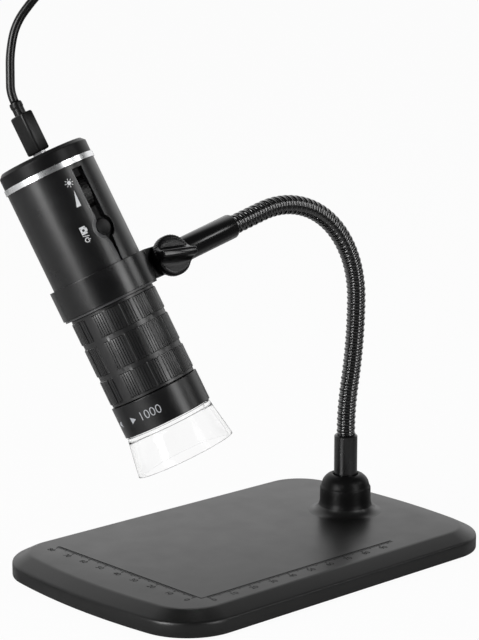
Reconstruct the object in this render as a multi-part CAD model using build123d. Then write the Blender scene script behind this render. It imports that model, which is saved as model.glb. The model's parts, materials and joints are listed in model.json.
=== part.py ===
from build123d import *
import os
from math import cos, hypot, pi, radians, sin, sqrt, tan

# A hand-held digital microscope in a ring clamp, on a flexible neck that rises from a weighted base.
# All sizes are in millimetres. +X runs along the base towards the post, +Y towards its back edge
# and +Z up. The origin is the centre of the plane that the feet stand on.

os.makedirs("parts", exist_ok=True)

# Clearances that the pieces share
running_fit = 0.05
push_fit = 0.02
drop_in_gap = 0.15
moving_gap = 0.3
cut_over = 1.0

# Base
base_length = 176.6
base_width = 115.0
base_end_bulge = 6.2
base_corner_radius = 22.5
base_foot_stand = 1.0
base_skirt_height = 6.0
base_bevel_drop = 3.0
base_bevel_run = 5.0
base_wall = 2.2
base_roof = 2.8
base_top = base_foot_stand + base_skirt_height + base_bevel_drop
base_ceiling = base_top - base_roof

cover_thickness = 1.6
cover_top = base_foot_stand + cover_thickness

screw_post_radius = 4.0
screw_post_inset_x = 14.0
screw_post_y = 26.0
screw_post_inset_y = 10.0
screw_radius = 1.5
screw_length = 5.4
screw_head_radius = 2.8
screw_head_height = 0.9
screw_slot = 0.8

foot_radius = 6.5
foot_recess = 0.5
foot_inset_x = 26.0
foot_inset_y = 16.0

ballast_length = 104.0
ballast_width = 78.0
ballast_thickness = 3.2
ballast_corner = 8.0
ballast_shift = -10.0

# Post boss at the +X end
post_inset = 33.3
post_x = base_length / 2 - post_inset
boss_radius = 10.8
boss_flare_radius = 15.0
boss_height = 16.0
boss_shoulder = 4.8
boss_counterbore_depth = 1.5
boss_facets = 4
stud_radius = 3.0
nut_across_flats = 10.0
nut_height = 3.0
nut_washer_radius = 7.5
nut_washer_thickness = 0.8

# Flexible neck and the two ferrules it is crimped into
ferrule_radius = 4.8
foot_ferrule_height = 18.0
ferrule_socket_depth = 6.0
ferrule_edge = 0.6
neck_radius = 3.5
neck_groove_depth = 0.65
neck_rib_pitch = 2.4
neck_core_radius = 2.3
neck_ring_sides = 12
neck_root_run = 2.0
neck_lean = 11.0
neck_lean_out_radius = 100.0
neck_lean_back_radius = 185.0
neck_crown_radius = 43.2
neck_arm_fall = 14.2
neck_tip_run = 14.9
arm_ferrule_length = 32.7

# Clamp: the fork of the ring, the tongue between its cheeks, and the bolt through them
clamp_reach = 28.0
clamp_roll = 23.2
tongue_thickness = 4.4
tongue_radius = 4.6
cheek_thickness = 3.3
cheek_end_radius = 5.5
ferrule_to_cheek = 0.3
bolt_radius = 2.0
bolt_head_radius = 4.2
bolt_head_height = 2.0
clamp_nut_flats = 7.0
clamp_nut_height = 3.0
clamp_nut_pocket = 2.0
knob_radius = 8.0
knob_disc_height = 3.6
knob_edge = 0.8
knob_bar_height = 3.0
knob_bar_width = 3.4
knob_bar_root = 5.2
knob_washer_radius = 5.0
knob_washer_thickness = 0.6
knob_turn = 21.0

# Microscope: radii, and stations along its axis above and below the middle of the arm
body_radius = 17.3
body_wall = 2.4
cap_top = 53.2
cap_bevel = 1.4
cap_foot = 47.3
cap_roof = 1.6
trim_foot = 45.2
trim_radius = 17.7
ring_top = 6.6
ring_foot = -5.0
liner_lip = 0.8
housing_foot = -5.6
focus_gap = 0.3
focus_length = 35.0
focus_radius = 16.75
focus_rib_depth = 0.45
grip_patch_count = 16
grip_ribs_in_patch = 4
grip_row_gap_share = 0.035
grip_row_shares = [(0.0, 0.31, 0), (0.31, 0.69, 1), (0.69, 1.0, 0)]
grip_rib_width_share = 0.7
band_length = 11.7
band_radius = 17.05
band_joint = 1.1
clear_length = 14.2
clear_top_radius = 16.7
clear_mouth_radius = 19.1
clear_wall = 1.3

liner_wall = 0.4
ring_wall = 1.2

body_bore = body_radius - body_wall
spigot_wall = 1.4
focus_top = housing_foot - focus_gap
focus_foot = focus_top - focus_length
band_top = focus_foot - focus_gap
band_foot = band_top - band_length
clear_top = band_foot - band_joint
clear_foot = clear_top - clear_length

# Channel in the housing, with the wheel slot and the button pocket
channel_depth = 1.4
channel_half_width = 2.4
channel_top = 43.4
button_station = 20.2
button_radius = 3.0
button_pocket_radius = 4.4
button_flange_radius = 3.8
button_flange_thickness = 0.8
button_stem_radius = 1.5
button_dish_radius = 14.0
button_below_skin = 0.5
button_travel = 0.4
groove_top_half_width = 1.9
groove_end_half_width = 0.6
groove_end = 3.0
wheel_station = 34.3
wheel_radius = 8.4
wheel_width = 3.6
wheel_below_skin = 0.4
wheel_tooth_count = 36
wheel_tooth_depth = 0.35
wheel_axle_radius = 1.0
wheel_pot_width = 4.0
wheel_pot_height = 8.0

# Boards and what they carry
board_thickness = 1.2
board_front = -5.4
board_foot = 5.0
board_half_width = 12.0
switch_side = 6.0
switch_height = 3.5
battery_width = 21.0
battery_depth = 9.0
battery_height = 32.0
battery_foot = 7.0
charge_board_top = 45.4
board_top = charge_board_top - board_thickness
charge_board_radius = 13.0
sensor_board_radius = 13.6
chip_side = 8.0
chip_height = 1.0
led_count = 8
led_circle_radius = 11.0
led_side = 3.0
led_height = 1.2
led_board_drop = 3.6

# Optics
barrel_wall = 2.2
carriage_wall = 5.5
carriage_length = 18.0
carriage_station = -18.0
lens_rim = 2.0
lens_shoulder_share = 0.7
lens_crown = 1.6
focus_travel = 5.0
focus_turn_range = 300.0
drive_lug_width = 3.0
drive_lug_height = 4.0

# Charging plug, its lead, and the plug on the far end
plug_shell_width = 6.85
plug_shell_depth = 1.8
plug_insertion = 5.4
plug_gap = 1.7
plug_body_width = 8.6
plug_body_depth = 5.6
plug_body_length = 15.2
plug_body_edge = 1.0
socket_wall = 0.35
socket_clearance = 0.08
relief_radius = 2.4
relief_tip_radius = 2.2
relief_length = 4.8
relief_collar = 2.4
lead_radius = 1.65
coil_x = -130.0
coil_y = 46.0
coil_outer_reach = 21.75
coil_step = 2.8
coil_layer_rise = 5.8
coil_half_turns_in = 2
coil_half_turns_out = 3
tie_thickness = 0.6
tie_width = 5.0
lead_section_sides = 8
lead_first_run = 3.6
tail_drop_run = 20.0
far_plug_length = 24.0
far_plug_width = 15.0
far_plug_depth = 8.0
far_plug_edge = 1.6
far_shell_length = 12.0
far_shell_width = 12.0
far_shell_depth = 4.5
far_shell_wall = 0.35
far_tongue_depth = 1.8
far_relief_length = 8.0
far_relief_radius = 2.9


def at(x=0, y=0, z=0):
    return Pos(x, y, z)


def turned(*points):
    """A solid turned about Z from a closed outline of (radius, height) points."""
    return revolve(Plane.XZ * make_face(Polyline(*points, close=True)), Axis.Z)


def tube(outer, inner, foot, top):
    """A plain round sleeve about Z between two heights."""
    return turned((inner, foot), (outer, foot), (outer, top), (inner, top))


def rod(radius, foot, top):
    """A plain round bar about Z between two heights."""
    return at(z=foot) * Cylinder(radius, top - foot, align=(Align.CENTER, Align.CENTER, Align.MIN))


def block(x_low, x_high, y_low, y_high, z_low, z_high):
    """A rectangular block between two corners."""
    size = (x_high - x_low, y_high - y_low, z_high - z_low)
    return at(x_low, y_low, z_low) * Box(*size, align=Align.MIN)


def prism(sketch, foot, top):
    """A flat outline raised from one height to another."""
    return extrude(at(z=foot) * sketch, top - foot)


def along_y(sketch, y_low, y_high):
    """An outline drawn in X and Z, and carried from one Y to another."""
    return extrude(Plane.XZ.offset(-y_high) * sketch, y_high - y_low)


def hexagon(across_flats):
    return RegularPolygon(across_flats / 2, 6, major_radius=False)


# Base pieces


def base_outline(inset):
    """The base seen from above: straight long sides, bulging ends and wide corners."""
    half_x = base_length / 2 - inset
    half_y = base_width / 2 - inset
    side_x = half_x - base_end_bulge
    face = make_face([
        Line((-side_x, -half_y), (side_x, -half_y)),
        ThreePointArc((side_x, -half_y), (half_x, 0), (side_x, half_y)),
        Line((side_x, half_y), (-side_x, half_y)),
        ThreePointArc((-side_x, half_y), (-half_x, 0), (-side_x, -half_y)),
    ])
    return fillet(face.vertices(), base_corner_radius - inset)


def screw_places():
    """Four screws near the ends and two in the middle of the long sides."""
    end_x = base_length / 2 - screw_post_inset_x
    side_y = base_width / 2 - screw_post_inset_y
    ends = [(sx * end_x, sy * screw_post_y) for sx in (-1, 1) for sy in (-1, 1)]
    return ends + [(0, -side_y), (0, side_y)]


def foot_places():
    foot_x = base_length / 2 - foot_inset_x
    foot_y = base_width / 2 - foot_inset_y
    return [(sx * foot_x, sy * foot_y) for sx in (-1, 1) for sy in (-1, 1)]


def post_boss():
    """The boss that the neck stands in, with a concave foot and a rounded shoulder."""
    flare = boss_flare_radius - boss_radius
    side = boss_height - boss_shoulder
    crown = boss_radius - boss_shoulder
    steps = [radians(90) * k / boss_facets for k in range(boss_facets + 1)]
    foot = [(boss_flare_radius - flare * sin(a), flare - flare * cos(a)) for a in steps]
    shoulder = [(crown + boss_shoulder * cos(a), side + boss_shoulder * sin(a)) for a in steps]
    boss = turned((0, -base_roof), (boss_flare_radius, -base_roof), *foot, *shoulder, (0, boss_height))
    return at(post_x, 0, base_top) * boss


def base_shell():
    skirt_top = base_foot_stand + base_skirt_height
    shell = prism(base_outline(0), base_foot_stand, skirt_top)
    rim = at(z=skirt_top) * base_outline(0)
    table = at(z=base_top) * base_outline(base_bevel_run)
    shell += loft([rim, table], ruled=True)
    shell -= prism(base_outline(base_wall), base_foot_stand - cut_over, base_ceiling)
    for x, y in screw_places():
        shell += at(x, y) * rod(screw_post_radius, cover_top, base_ceiling + base_roof / 2)
    shell += post_boss()
    boss_top = base_top + boss_height
    shell -= at(post_x) * rod(stud_radius + running_fit, 0, boss_top + cut_over)
    seat = rod(ferrule_radius + running_fit, boss_top - boss_counterbore_depth, boss_top + cut_over)
    shell -= at(post_x) * seat
    hole_top = base_foot_stand + screw_head_height + screw_length
    for x, y in screw_places():
        shell -= at(x, y) * rod(screw_radius, cover_top - cut_over, hole_top)
    return shell


def bottom_cover():
    """The flat plate that closes the base, with shallow seats for the feet."""
    plate = prism(base_outline(base_wall + drop_in_gap), base_foot_stand, cover_top)
    head_top = base_foot_stand + screw_head_height
    for x, y in screw_places():
        plate -= at(x, y) * rod(screw_radius + drop_in_gap, 0, cover_top + cut_over)
        plate -= at(x, y) * rod(screw_head_radius + drop_in_gap, 0, head_top)
    for x, y in foot_places():
        plate -= at(x, y) * rod(foot_radius + drop_in_gap, 0, base_foot_stand + foot_recess)
    return plate


def rubber_feet():
    pad = rod(foot_radius, 0, base_foot_stand + foot_recess)
    pad = chamfer(pad.edges().sort_by(Axis.Z)[0], base_foot_stand / 3)
    return Compound(children=[at(x, y) * pad for x, y in foot_places()])


def base_screws():
    head_top = base_foot_stand + screw_head_height
    screw = rod(screw_head_radius, base_foot_stand, head_top)
    screw += rod(screw_radius - push_fit, head_top, head_top + screw_length - cut_over)
    half_slot = screw_slot / 2
    slot_top = head_top - screw_head_height / 2
    screw -= block(-screw_head_radius, screw_head_radius, -half_slot, half_slot, 0, slot_top)
    return Compound(children=[at(x, y) * screw for x, y in screw_places()])


def ballast_plate():
    """A steel plate glued under the roof of the base, cut away round the middle posts."""
    plate = RectangleRounded(ballast_length, ballast_width, ballast_corner)
    return at(ballast_shift) * prism(plate, base_ceiling - ballast_thickness, base_ceiling)


def neck_washer():
    foot = base_ceiling - nut_washer_thickness
    return at(post_x) * tube(nut_washer_radius, stud_radius + running_fit, foot, base_ceiling)


def neck_nut():
    top = base_ceiling - nut_washer_thickness
    nut = prism(hexagon(nut_across_flats), top - nut_height, top)
    return at(post_x) * (nut - rod(stud_radius + running_fit, 0, base_top))


# Neck


def neck_segments():
    """Lengths of the neck's centre line and how far each turns towards the clamp, in degrees."""
    lean_out = neck_lean_out_radius * radians(neck_lean)
    lean_back = neck_lean_back_radius * radians(neck_lean)
    crown_turn = 90 + neck_arm_fall
    crown = neck_crown_radius * radians(crown_turn)
    return [
        (neck_root_run, 0),
        (lean_out, -neck_lean),
        (lean_back, neck_lean),
        (crown, crown_turn),
        (neck_tip_run, 0),
    ]


neck_length = sum(length for length, turn in neck_segments())
neck_foot = base_top + boss_height - boss_counterbore_depth + foot_ferrule_height


def neck_plane(distance):
    """The plane square to the neck's centre line at a distance along it from the foot ferrule."""
    x, z, heading = post_x, neck_foot, 0
    left = distance
    for length, turn in neck_segments():
        step = min(left, length)
        swing = radians(turn) * step / length
        if turn:
            radius = length / radians(turn)
            x += radius * (cos(heading + swing) - cos(heading))
            z += radius * (sin(heading + swing) - sin(heading))
        else:
            x -= step * sin(heading)
            z += step * cos(heading)
        heading += swing
        left -= step
    return Plane(origin=(x, 0, z), x_dir=(0, 1, 0), z_dir=(-sin(heading), 0, cos(heading)))


neck_tip = neck_plane(neck_length)
arm_outward = -neck_tip.z_dir
bolt_point = neck_tip.origin - arm_outward * (arm_ferrule_length + cheek_end_radius + ferrule_to_cheek)
ring_point = bolt_point - arm_outward * clamp_reach
arm_up = Vector(0, 1, 0).cross(arm_outward) * -1
scope_up = arm_up * cos(radians(clamp_roll)) + Vector(0, 1, 0) * sin(radians(clamp_roll))
scope_plane = Plane(origin=ring_point, x_dir=arm_outward, z_dir=scope_up)


def in_scope(piece):
    """Places a piece drawn about the microscope's own axis, with the arm along its +X."""
    return scope_plane.location * piece


def foot_ferrule():
    """A turned sleeve with a threaded stud below, held in the boss by the nut."""
    foot = base_top + boss_height - boss_counterbore_depth
    sleeve = rod(ferrule_radius, foot, neck_foot)
    sleeve = chamfer(sleeve.edges().sort_by(Axis.Z)[-1], ferrule_edge)
    stud_foot = base_ceiling - nut_washer_thickness - nut_height
    sleeve += rod(stud_radius, stud_foot, foot)
    sleeve -= rod(neck_core_radius + running_fit, neck_foot - ferrule_socket_depth, neck_foot + cut_over)
    return at(post_x) * sleeve


def gooseneck():
    """The wound neck: rings of wire seen as ribs, with a plain core at each end in its ferrule."""
    ribs = int(neck_length / neck_rib_pitch)
    step = neck_length / (2 * ribs)
    groove = neck_radius - neck_groove_depth
    sections = []
    for i in range(2 * ribs + 1):
        radius = neck_radius if i % 2 else groove
        sections.append(neck_plane(i * step) * RegularPolygon(radius, neck_ring_sides))
    neck = loft(sections, ruled=True)
    depth = ferrule_socket_depth - moving_gap
    neck += extrude(neck_plane(0) * Circle(neck_core_radius), -depth)
    neck += extrude(neck_plane(neck_length) * Circle(neck_core_radius), depth)
    return neck


# Clamp pieces, drawn about the microscope's axis


def arm_ferrule():
    """The sleeve at the neck's tip, flattened into a tongue that the clamp bolt passes through."""
    start = clamp_reach + cheek_end_radius + ferrule_to_cheek
    end = start + arm_ferrule_length
    sleeve = Plane.YZ.offset(start) * Cylinder(
        ferrule_radius, arm_ferrule_length, align=(Align.CENTER, Align.CENTER, Align.MIN)
    )
    sleeve = chamfer(sleeve.edges().sort_by(Axis.X)[0], ferrule_edge)
    tip = at(clamp_reach) * Circle(tongue_radius)
    reach = Polyline(
        (clamp_reach, -tongue_radius), (start + cut_over, -tongue_radius),
        (start + cut_over, tongue_radius), (clamp_reach, tongue_radius), close=True,
    )
    half = tongue_thickness / 2
    sleeve += along_y(tip + make_face(reach), -half, half)
    bore = Plane.YZ.offset(end - ferrule_socket_depth) * Cylinder(
        neck_core_radius + running_fit, ferrule_socket_depth + cut_over,
        align=(Align.CENTER, Align.CENTER, Align.MIN),
    )
    sleeve -= bore
    sleeve -= along_y(at(clamp_reach) * Circle(bolt_radius + running_fit), -half - cut_over, half + cut_over)
    return in_scope(sleeve)


liner_bore = body_radius + running_fit
ring_bore = liner_bore + liner_wall + running_fit
ring_radius = ring_bore + ring_wall
fork_half = tongue_thickness / 2 + running_fit
cheek_face = fork_half + cheek_thickness


def holder_ring():
    """A split ring whose ends run out into two cheeks, one each side of the arm's tongue."""
    middle = (ring_top + ring_foot) / 2
    height = ring_top - ring_foot
    lug = Polyline(
        (0, ring_foot), (ring_radius, ring_foot), (clamp_reach, -cheek_end_radius),
        (clamp_reach, cheek_end_radius), (ring_radius, ring_top), (0, ring_top), close=True,
    )
    end = at(clamp_reach) * Circle(cheek_end_radius)
    ring = along_y(make_face(lug) + end, -cheek_face, cheek_face)
    ring += at(z=middle) * Cylinder(ring_radius, height)
    ring -= rod(ring_bore, ring_foot - cut_over, ring_top + cut_over)
    reach = clamp_reach + cheek_end_radius + cut_over
    ring -= block(0, reach, -fork_half, fork_half, ring_foot - cut_over, ring_top + cut_over)
    hole = at(clamp_reach) * Circle(bolt_radius + running_fit)
    ring -= along_y(hole, -cheek_face - cut_over, cheek_face + cut_over)
    pocket = at(clamp_reach) * hexagon(clamp_nut_flats + drop_in_gap)
    ring -= along_y(pocket, cheek_face - clamp_nut_pocket, cheek_face + cut_over)
    return in_scope(ring)


def ring_liner():
    """A thin sleeve in the ring, with a small lip under it, that the microscope slides through."""
    lip_radius = ring_bore + ring_wall / 2
    sleeve = turned(
        (liner_bore, ring_foot - liner_lip), (lip_radius, ring_foot - liner_lip),
        (lip_radius, ring_foot - running_fit), (ring_bore - running_fit, ring_foot - running_fit),
        (ring_bore - running_fit, ring_top), (liner_bore, ring_top),
    )
    return in_scope(sleeve)


def knob_washer():
    ring = Circle(knob_washer_radius) - Circle(bolt_radius + running_fit)
    face = -cheek_face - knob_washer_thickness
    return in_scope(along_y(at(clamp_reach) * ring, face, -cheek_face))


def clamp_knob():
    """A round knob with a raised bar across it for finger and thumb."""
    back = -cheek_face - knob_washer_thickness
    front = back - knob_disc_height
    centre = at(clamp_reach)
    knob = along_y(centre * Circle(knob_radius), front, back)
    knob = chamfer(knob.edges().sort_by(Axis.Y)[0], knob_edge)
    half = knob_radius - knob_edge / 2
    root = Rectangle(2 * half, knob_bar_root)
    crest = Rectangle(2 * half - knob_edge, knob_bar_width)
    turn = Rot(0, 0, -knob_turn)
    bar = loft([
        Plane.XZ.offset(-front - knob_edge / 2) * centre * turn * root,
        Plane.XZ.offset(-front + knob_bar_height) * centre * turn * crest,
    ])
    knob += bar
    knob -= along_y(centre * Circle(bolt_radius), front, back + cut_over)
    head = at(clamp_reach) * Circle(bolt_head_radius)
    knob -= along_y(head, back - bolt_head_height, back + cut_over)
    return in_scope(knob)


def clamp_bolt():
    """The bolt moulded into the knob, with its thread in the nut behind the rear cheek."""
    back = -cheek_face - knob_washer_thickness
    far = cheek_face - clamp_nut_pocket + clamp_nut_height
    centre = at(clamp_reach)
    bolt = along_y(centre * Circle(bolt_radius), back - knob_disc_height, far)
    bolt += along_y(centre * Circle(bolt_head_radius), back - bolt_head_height, back)
    return in_scope(bolt)


def clamp_nut():
    seat = cheek_face - clamp_nut_pocket
    outline = hexagon(clamp_nut_flats) - Circle(bolt_radius + running_fit)
    return in_scope(along_y(at(clamp_reach) * outline, seat, seat + clamp_nut_height))


# Microscope housing and its controls


def channel_outline():
    """The shallow channel down the front: wheel slot, round button pocket and a narrowing groove."""
    pocket_top = button_station
    slot = Polyline(
        (-channel_half_width, pocket_top), (channel_half_width, pocket_top),
        (channel_half_width, channel_top), (-channel_half_width, channel_top), close=True,
    )
    groove = Polyline(
        (-groove_end_half_width, groove_end), (groove_end_half_width, groove_end),
        (groove_top_half_width, pocket_top), (-groove_top_half_width, pocket_top), close=True,
    )
    pocket = at(0, button_station) * Circle(button_pocket_radius)
    return make_face(slot) + make_face(groove) + pocket


wheel_axis_y = -(body_radius - wheel_below_skin - wheel_radius)


def housing():
    shell = tube(body_radius, body_bore, housing_foot, trim_foot)
    floor_radius = body_radius - channel_depth
    beyond = body_radius + cut_over
    skin = tube(beyond, floor_radius, housing_foot, trim_foot)
    shell -= along_y(channel_outline(), -beyond, 0) & skin
    hole = at(0, button_station) * Circle(button_radius + drop_in_gap)
    shell -= along_y(hole, -beyond, 0)
    reach = wheel_radius + moving_gap
    drop = -body_bore - wheel_axis_y
    slot_half = sqrt(reach * reach - drop * drop)
    side = wheel_width / 2 + moving_gap / 2
    shell -= block(-side, side, -beyond, 0, wheel_station - slot_half, wheel_station + slot_half)
    return in_scope(shell)


def trim_ring():
    return in_scope(tube(trim_radius, body_bore, trim_foot, cap_foot))


def end_cap():
    """The cap over the top, bevelled at its edge, with the opening for the charging plug."""
    spigot = body_bore - push_fit
    spigot_foot = trim_foot - spigot_wall
    roof = cap_top - cap_roof
    cap = turned(
        (0, roof), (spigot - spigot_wall, roof), (spigot - spigot_wall, spigot_foot),
        (spigot, spigot_foot), (spigot, cap_foot), (body_radius, cap_foot),
        (body_radius, cap_top - cap_bevel), (body_radius - cap_bevel, cap_top), (0, cap_top),
    )
    opening = RectangleRounded(
        plug_shell_depth + 2 * drop_in_gap + 2 * socket_wall,
        plug_shell_width + 2 * drop_in_gap + 2 * socket_wall, plug_shell_depth / 3,
    )
    cap -= prism(opening, roof - cut_over, cap_top + cut_over)
    return in_scope(cap)


def dimmer_wheel():
    """The toothed wheel that sets the lamps' brightness, turning about an axle across the body."""
    rim = Circle(wheel_radius - wheel_tooth_depth)
    pitch = 2 * pi * wheel_radius / wheel_tooth_count
    tooth = at(wheel_radius - wheel_tooth_depth) * Rectangle(2 * wheel_tooth_depth, pitch / 2)
    outline = rim
    for i in range(wheel_tooth_count):
        outline += Rot(0, 0, 360 * i / wheel_tooth_count) * tooth
    wheel = extrude(Plane.YZ.offset(-wheel_width / 2) * outline, wheel_width)
    end = wheel_width / 2 + wheel_pot_width
    axle = Plane.YZ.offset(-wheel_width / 2) * Cylinder(
        wheel_axle_radius, wheel_width / 2 + end, align=(Align.CENTER, Align.CENTER, Align.MIN)
    )
    return in_scope(at(0, wheel_axis_y, wheel_station) * (wheel + axle))


def dimmer_pot():
    """The small case beside the wheel that its axle turns in, soldered to the main board."""
    low = wheel_width / 2 + drop_in_gap
    high = low + wheel_pot_width
    half = wheel_pot_height / 2
    front = wheel_axis_y - wheel_pot_width
    case = block(low, high, front, board_front, wheel_station - half, wheel_station + half)
    bore = Plane.YZ.offset(low - cut_over) * Cylinder(
        wheel_axle_radius + running_fit, wheel_pot_width + 2 * cut_over,
        align=(Align.CENTER, Align.CENTER, Align.MIN),
    )
    return in_scope(case - at(0, wheel_axis_y, wheel_station) * bore)


def button_flange_face():
    """Where the button's flange can lie behind the curved wall, allowing for its width."""
    return -sqrt(body_bore**2 - button_flange_radius**2) + drop_in_gap


def shutter_button():
    face = -body_radius + button_below_skin
    flange_front = button_flange_face()
    flange_back = flange_front + button_flange_thickness
    stem_end = board_front - switch_height - button_travel - running_fit
    centre = at(0, button_station)
    button = along_y(centre * Circle(button_radius), face, flange_back)
    button += along_y(centre * Circle(button_flange_radius), flange_front, flange_back)
    button += along_y(centre * Circle(button_stem_radius), flange_back, stem_end)
    dish = at(0, face - button_dish_radius + wheel_tooth_depth, button_station)
    button -= dish * Sphere(button_dish_radius)
    return in_scope(button)


def tact_switch():
    half = switch_side / 2
    front = board_front - switch_height
    case = block(-half, half, front, board_front, button_station - half, button_station + half)
    return in_scope(case)


def main_board():
    """The upright circuit board, notched at the top for the dimmer wheel."""
    back = board_front + board_thickness
    board = block(-board_half_width, board_half_width, board_front, back, board_foot, board_top)
    side = wheel_width / 2 + moving_gap
    notch_foot = wheel_station - wheel_radius - moving_gap
    board -= block(-side, side, board_front - cut_over, back + cut_over, notch_foot, board_top + cut_over)
    return in_scope(board)


def battery():
    half = battery_width / 2
    front = wheel_axis_y + wheel_radius + moving_gap
    cell = block(-half, half, front, front + battery_depth, battery_foot, battery_foot + battery_height)
    return in_scope(fillet(cell.edges().filter_by(Axis.Z), battery_depth / 3))


def charge_board():
    board = rod(charge_board_radius, charge_board_top - board_thickness, charge_board_top)
    return in_scope(board)


def usb_socket():
    """The metal socket on the charge board, open at the top for the plug's shell."""
    top = cap_top - cap_roof
    outer = RectangleRounded(
        plug_shell_depth + 2 * socket_clearance + 2 * socket_wall,
        plug_shell_width + 2 * socket_clearance + 2 * socket_wall, plug_shell_depth / 4,
    )
    inner = RectangleRounded(
        plug_shell_depth + 2 * socket_clearance, plug_shell_width + 2 * socket_clearance,
        plug_shell_depth / 4,
    )
    shell = prism(outer, charge_board_top, top)
    return in_scope(shell - prism(inner, top - plug_insertion, top + cut_over))


# Optics and lamps


barrel_bore = body_bore - push_fit - barrel_wall


def front_barrel():
    """The fixed tube that the focus ring turns on, ending in the wide band with the numbers."""
    outer = body_bore - push_fit
    collar_bore = outer
    collar_roof = band_top - barrel_wall
    barrel = turned(
        (barrel_bore, collar_roof), (collar_bore, collar_roof), (collar_bore, band_foot),
        (band_radius, band_foot), (band_radius, band_top), (outer, band_top),
        (outer, board_foot - barrel_wall), (barrel_bore, board_foot - barrel_wall),
    )
    half = drive_lug_width / 2 + drop_in_gap
    middle = carriage_station - carriage_length / 2
    rise = (drive_lug_height + focus_travel) / 2 + drop_in_gap
    barrel -= block(-body_radius, body_radius, -half, half, middle - rise, middle + rise) & rod(
        outer + cut_over, middle - rise, middle + rise
    )
    return in_scope(barrel)


def focus_ring():
    """The knurled ring: three rows of rib patches, the middle row staggered."""
    inner = body_bore + running_fit
    root = focus_radius - focus_rib_depth
    ring = tube(root, inner, focus_foot, focus_top)
    rib_pitch_angle = 360 / grip_patch_count / (grip_ribs_in_patch + grip_rib_width_share)
    rib_width = focus_radius * radians(rib_pitch_angle) * grip_rib_width_share
    for start_share, end_share, stagger in grip_row_shares:
        top = focus_top - focus_length * (start_share + grip_row_gap_share)
        foot = focus_top - focus_length * (end_share - grip_row_gap_share)
        outline = Sketch()
        for patch in range(grip_patch_count):
            for rib in range(grip_ribs_in_patch):
                turn = (patch + stagger / 2) * 360 / grip_patch_count + rib * rib_pitch_angle
                spot = at(focus_radius - focus_rib_depth)
                outline += Rot(0, 0, turn) * spot * Rectangle(2 * focus_rib_depth, rib_width)
        ring += prism(outline, foot, top)
    return in_scope(ring)


def lens_carriage():
    """The sliding lens tube, with two lugs that reach through the barrel to the focus ring."""
    outer = barrel_bore - running_fit
    top = carriage_station
    foot = carriage_station - carriage_length
    seat = outer - carriage_wall
    aperture = seat - lens_rim
    tube_part = turned(
        (aperture, foot), (outer, foot), (outer, top), (seat, top), (seat, foot + lens_rim),
        (aperture, foot + lens_rim),
    )
    middle = carriage_station - carriage_length / 2
    tip = body_bore - moving_gap / 2
    half = drive_lug_width / 2
    rise = drive_lug_height / 2
    lugs = block(-tip, tip, -half, half, middle - rise, middle + rise)
    lugs -= rod(outer - carriage_wall / 2, middle - rise - cut_over, middle + rise + cut_over)
    return in_scope(tube_part + lugs)


def objective_lens():
    """A crowned lens seated on the rim at the foot of the carriage."""
    rim_radius = barrel_bore - running_fit - carriage_wall - push_fit
    foot = carriage_station - carriage_length + lens_rim
    face = foot + lens_rim
    crest = face + lens_crown
    crown = turned(
        (0, foot), (rim_radius, foot), (rim_radius, face),
        (rim_radius * lens_shoulder_share, face + lens_crown * lens_shoulder_share),
        (rim_radius * (1 - lens_shoulder_share), crest), (0, crest),
    )
    return in_scope(crown)


def sensor_board():
    foot = board_foot - barrel_wall
    return in_scope(rod(sensor_board_radius, foot, foot + board_thickness))


def image_sensor():
    top = board_foot - barrel_wall
    half = chip_side / 2
    return in_scope(block(-half, half, -half, half, top - chip_height, top))


led_board_top = band_top - barrel_wall - led_board_drop
led_board_bore = barrel_bore / 2


def led_board():
    """The ring-shaped board that the lamps are soldered to, under the barrel's shoulder."""
    outer = body_bore - push_fit - drop_in_gap
    return in_scope(tube(outer, led_board_bore, led_board_top - board_thickness, led_board_top))


def led_spacer():
    """The sleeve that holds the lamp board down from the barrel's shoulder."""
    outer = body_bore - push_fit - drop_in_gap
    return in_scope(tube(outer, barrel_bore, led_board_top, band_top - barrel_wall))


def leds():
    foot = led_board_top - board_thickness
    half = led_side / 2
    lamp = block(-half, half, -half, half, foot - led_height, foot)
    places = [Rot(0, 0, 360 * i / led_count) * at(led_circle_radius) * lamp for i in range(led_count)]
    return Compound(children=[in_scope(place) for place in places])


def clear_cap():
    """The clear nose: a short spigot in the barrel and a skirt that flares to an open mouth."""
    spigot = body_bore - push_fit - running_fit
    spigot_top = led_board_top - board_thickness - led_height - drop_in_gap
    inner = spigot - clear_wall
    slope = (clear_mouth_radius - clear_top_radius) / clear_length
    shoulder = clear_top - clear_wall
    cap = turned(
        (inner, shoulder), (inner, spigot_top), (spigot, spigot_top), (spigot, clear_top + band_joint / 2),
        (clear_top_radius, clear_top + band_joint / 2), (clear_top_radius, clear_top),
        (clear_mouth_radius, clear_foot), (clear_mouth_radius - clear_wall, clear_foot),
        (clear_top_radius + slope * clear_wall - clear_wall, shoulder),
    )
    return in_scope(cap)


# Charging plug and its lead


overmould_foot = cap_top + plug_gap
overmould_top = overmould_foot + plug_body_length
relief_top = overmould_top + relief_length


def usb_plug_shell():
    outline = RectangleRounded(plug_shell_depth, plug_shell_width, plug_shell_depth / 4)
    foot = cap_top - cap_roof - plug_insertion + drop_in_gap
    return in_scope(prism(outline, foot, overmould_foot))


def plug_overmould():
    body = prism(Rectangle(plug_body_depth, plug_body_width), overmould_foot, overmould_top)
    body = chamfer(body.edges().filter_by(Axis.Z), plug_body_edge)
    return in_scope(body)


def strain_relief():
    collar_foot = relief_top - relief_collar
    return in_scope(turned(
        (0, overmould_top), (relief_tip_radius, overmould_top), (relief_tip_radius, collar_foot),
        (relief_radius, collar_foot + relief_collar / 4), (relief_radius, relief_top - relief_collar / 4),
        (relief_tip_radius, relief_top), (0, relief_top),
    ))


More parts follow.
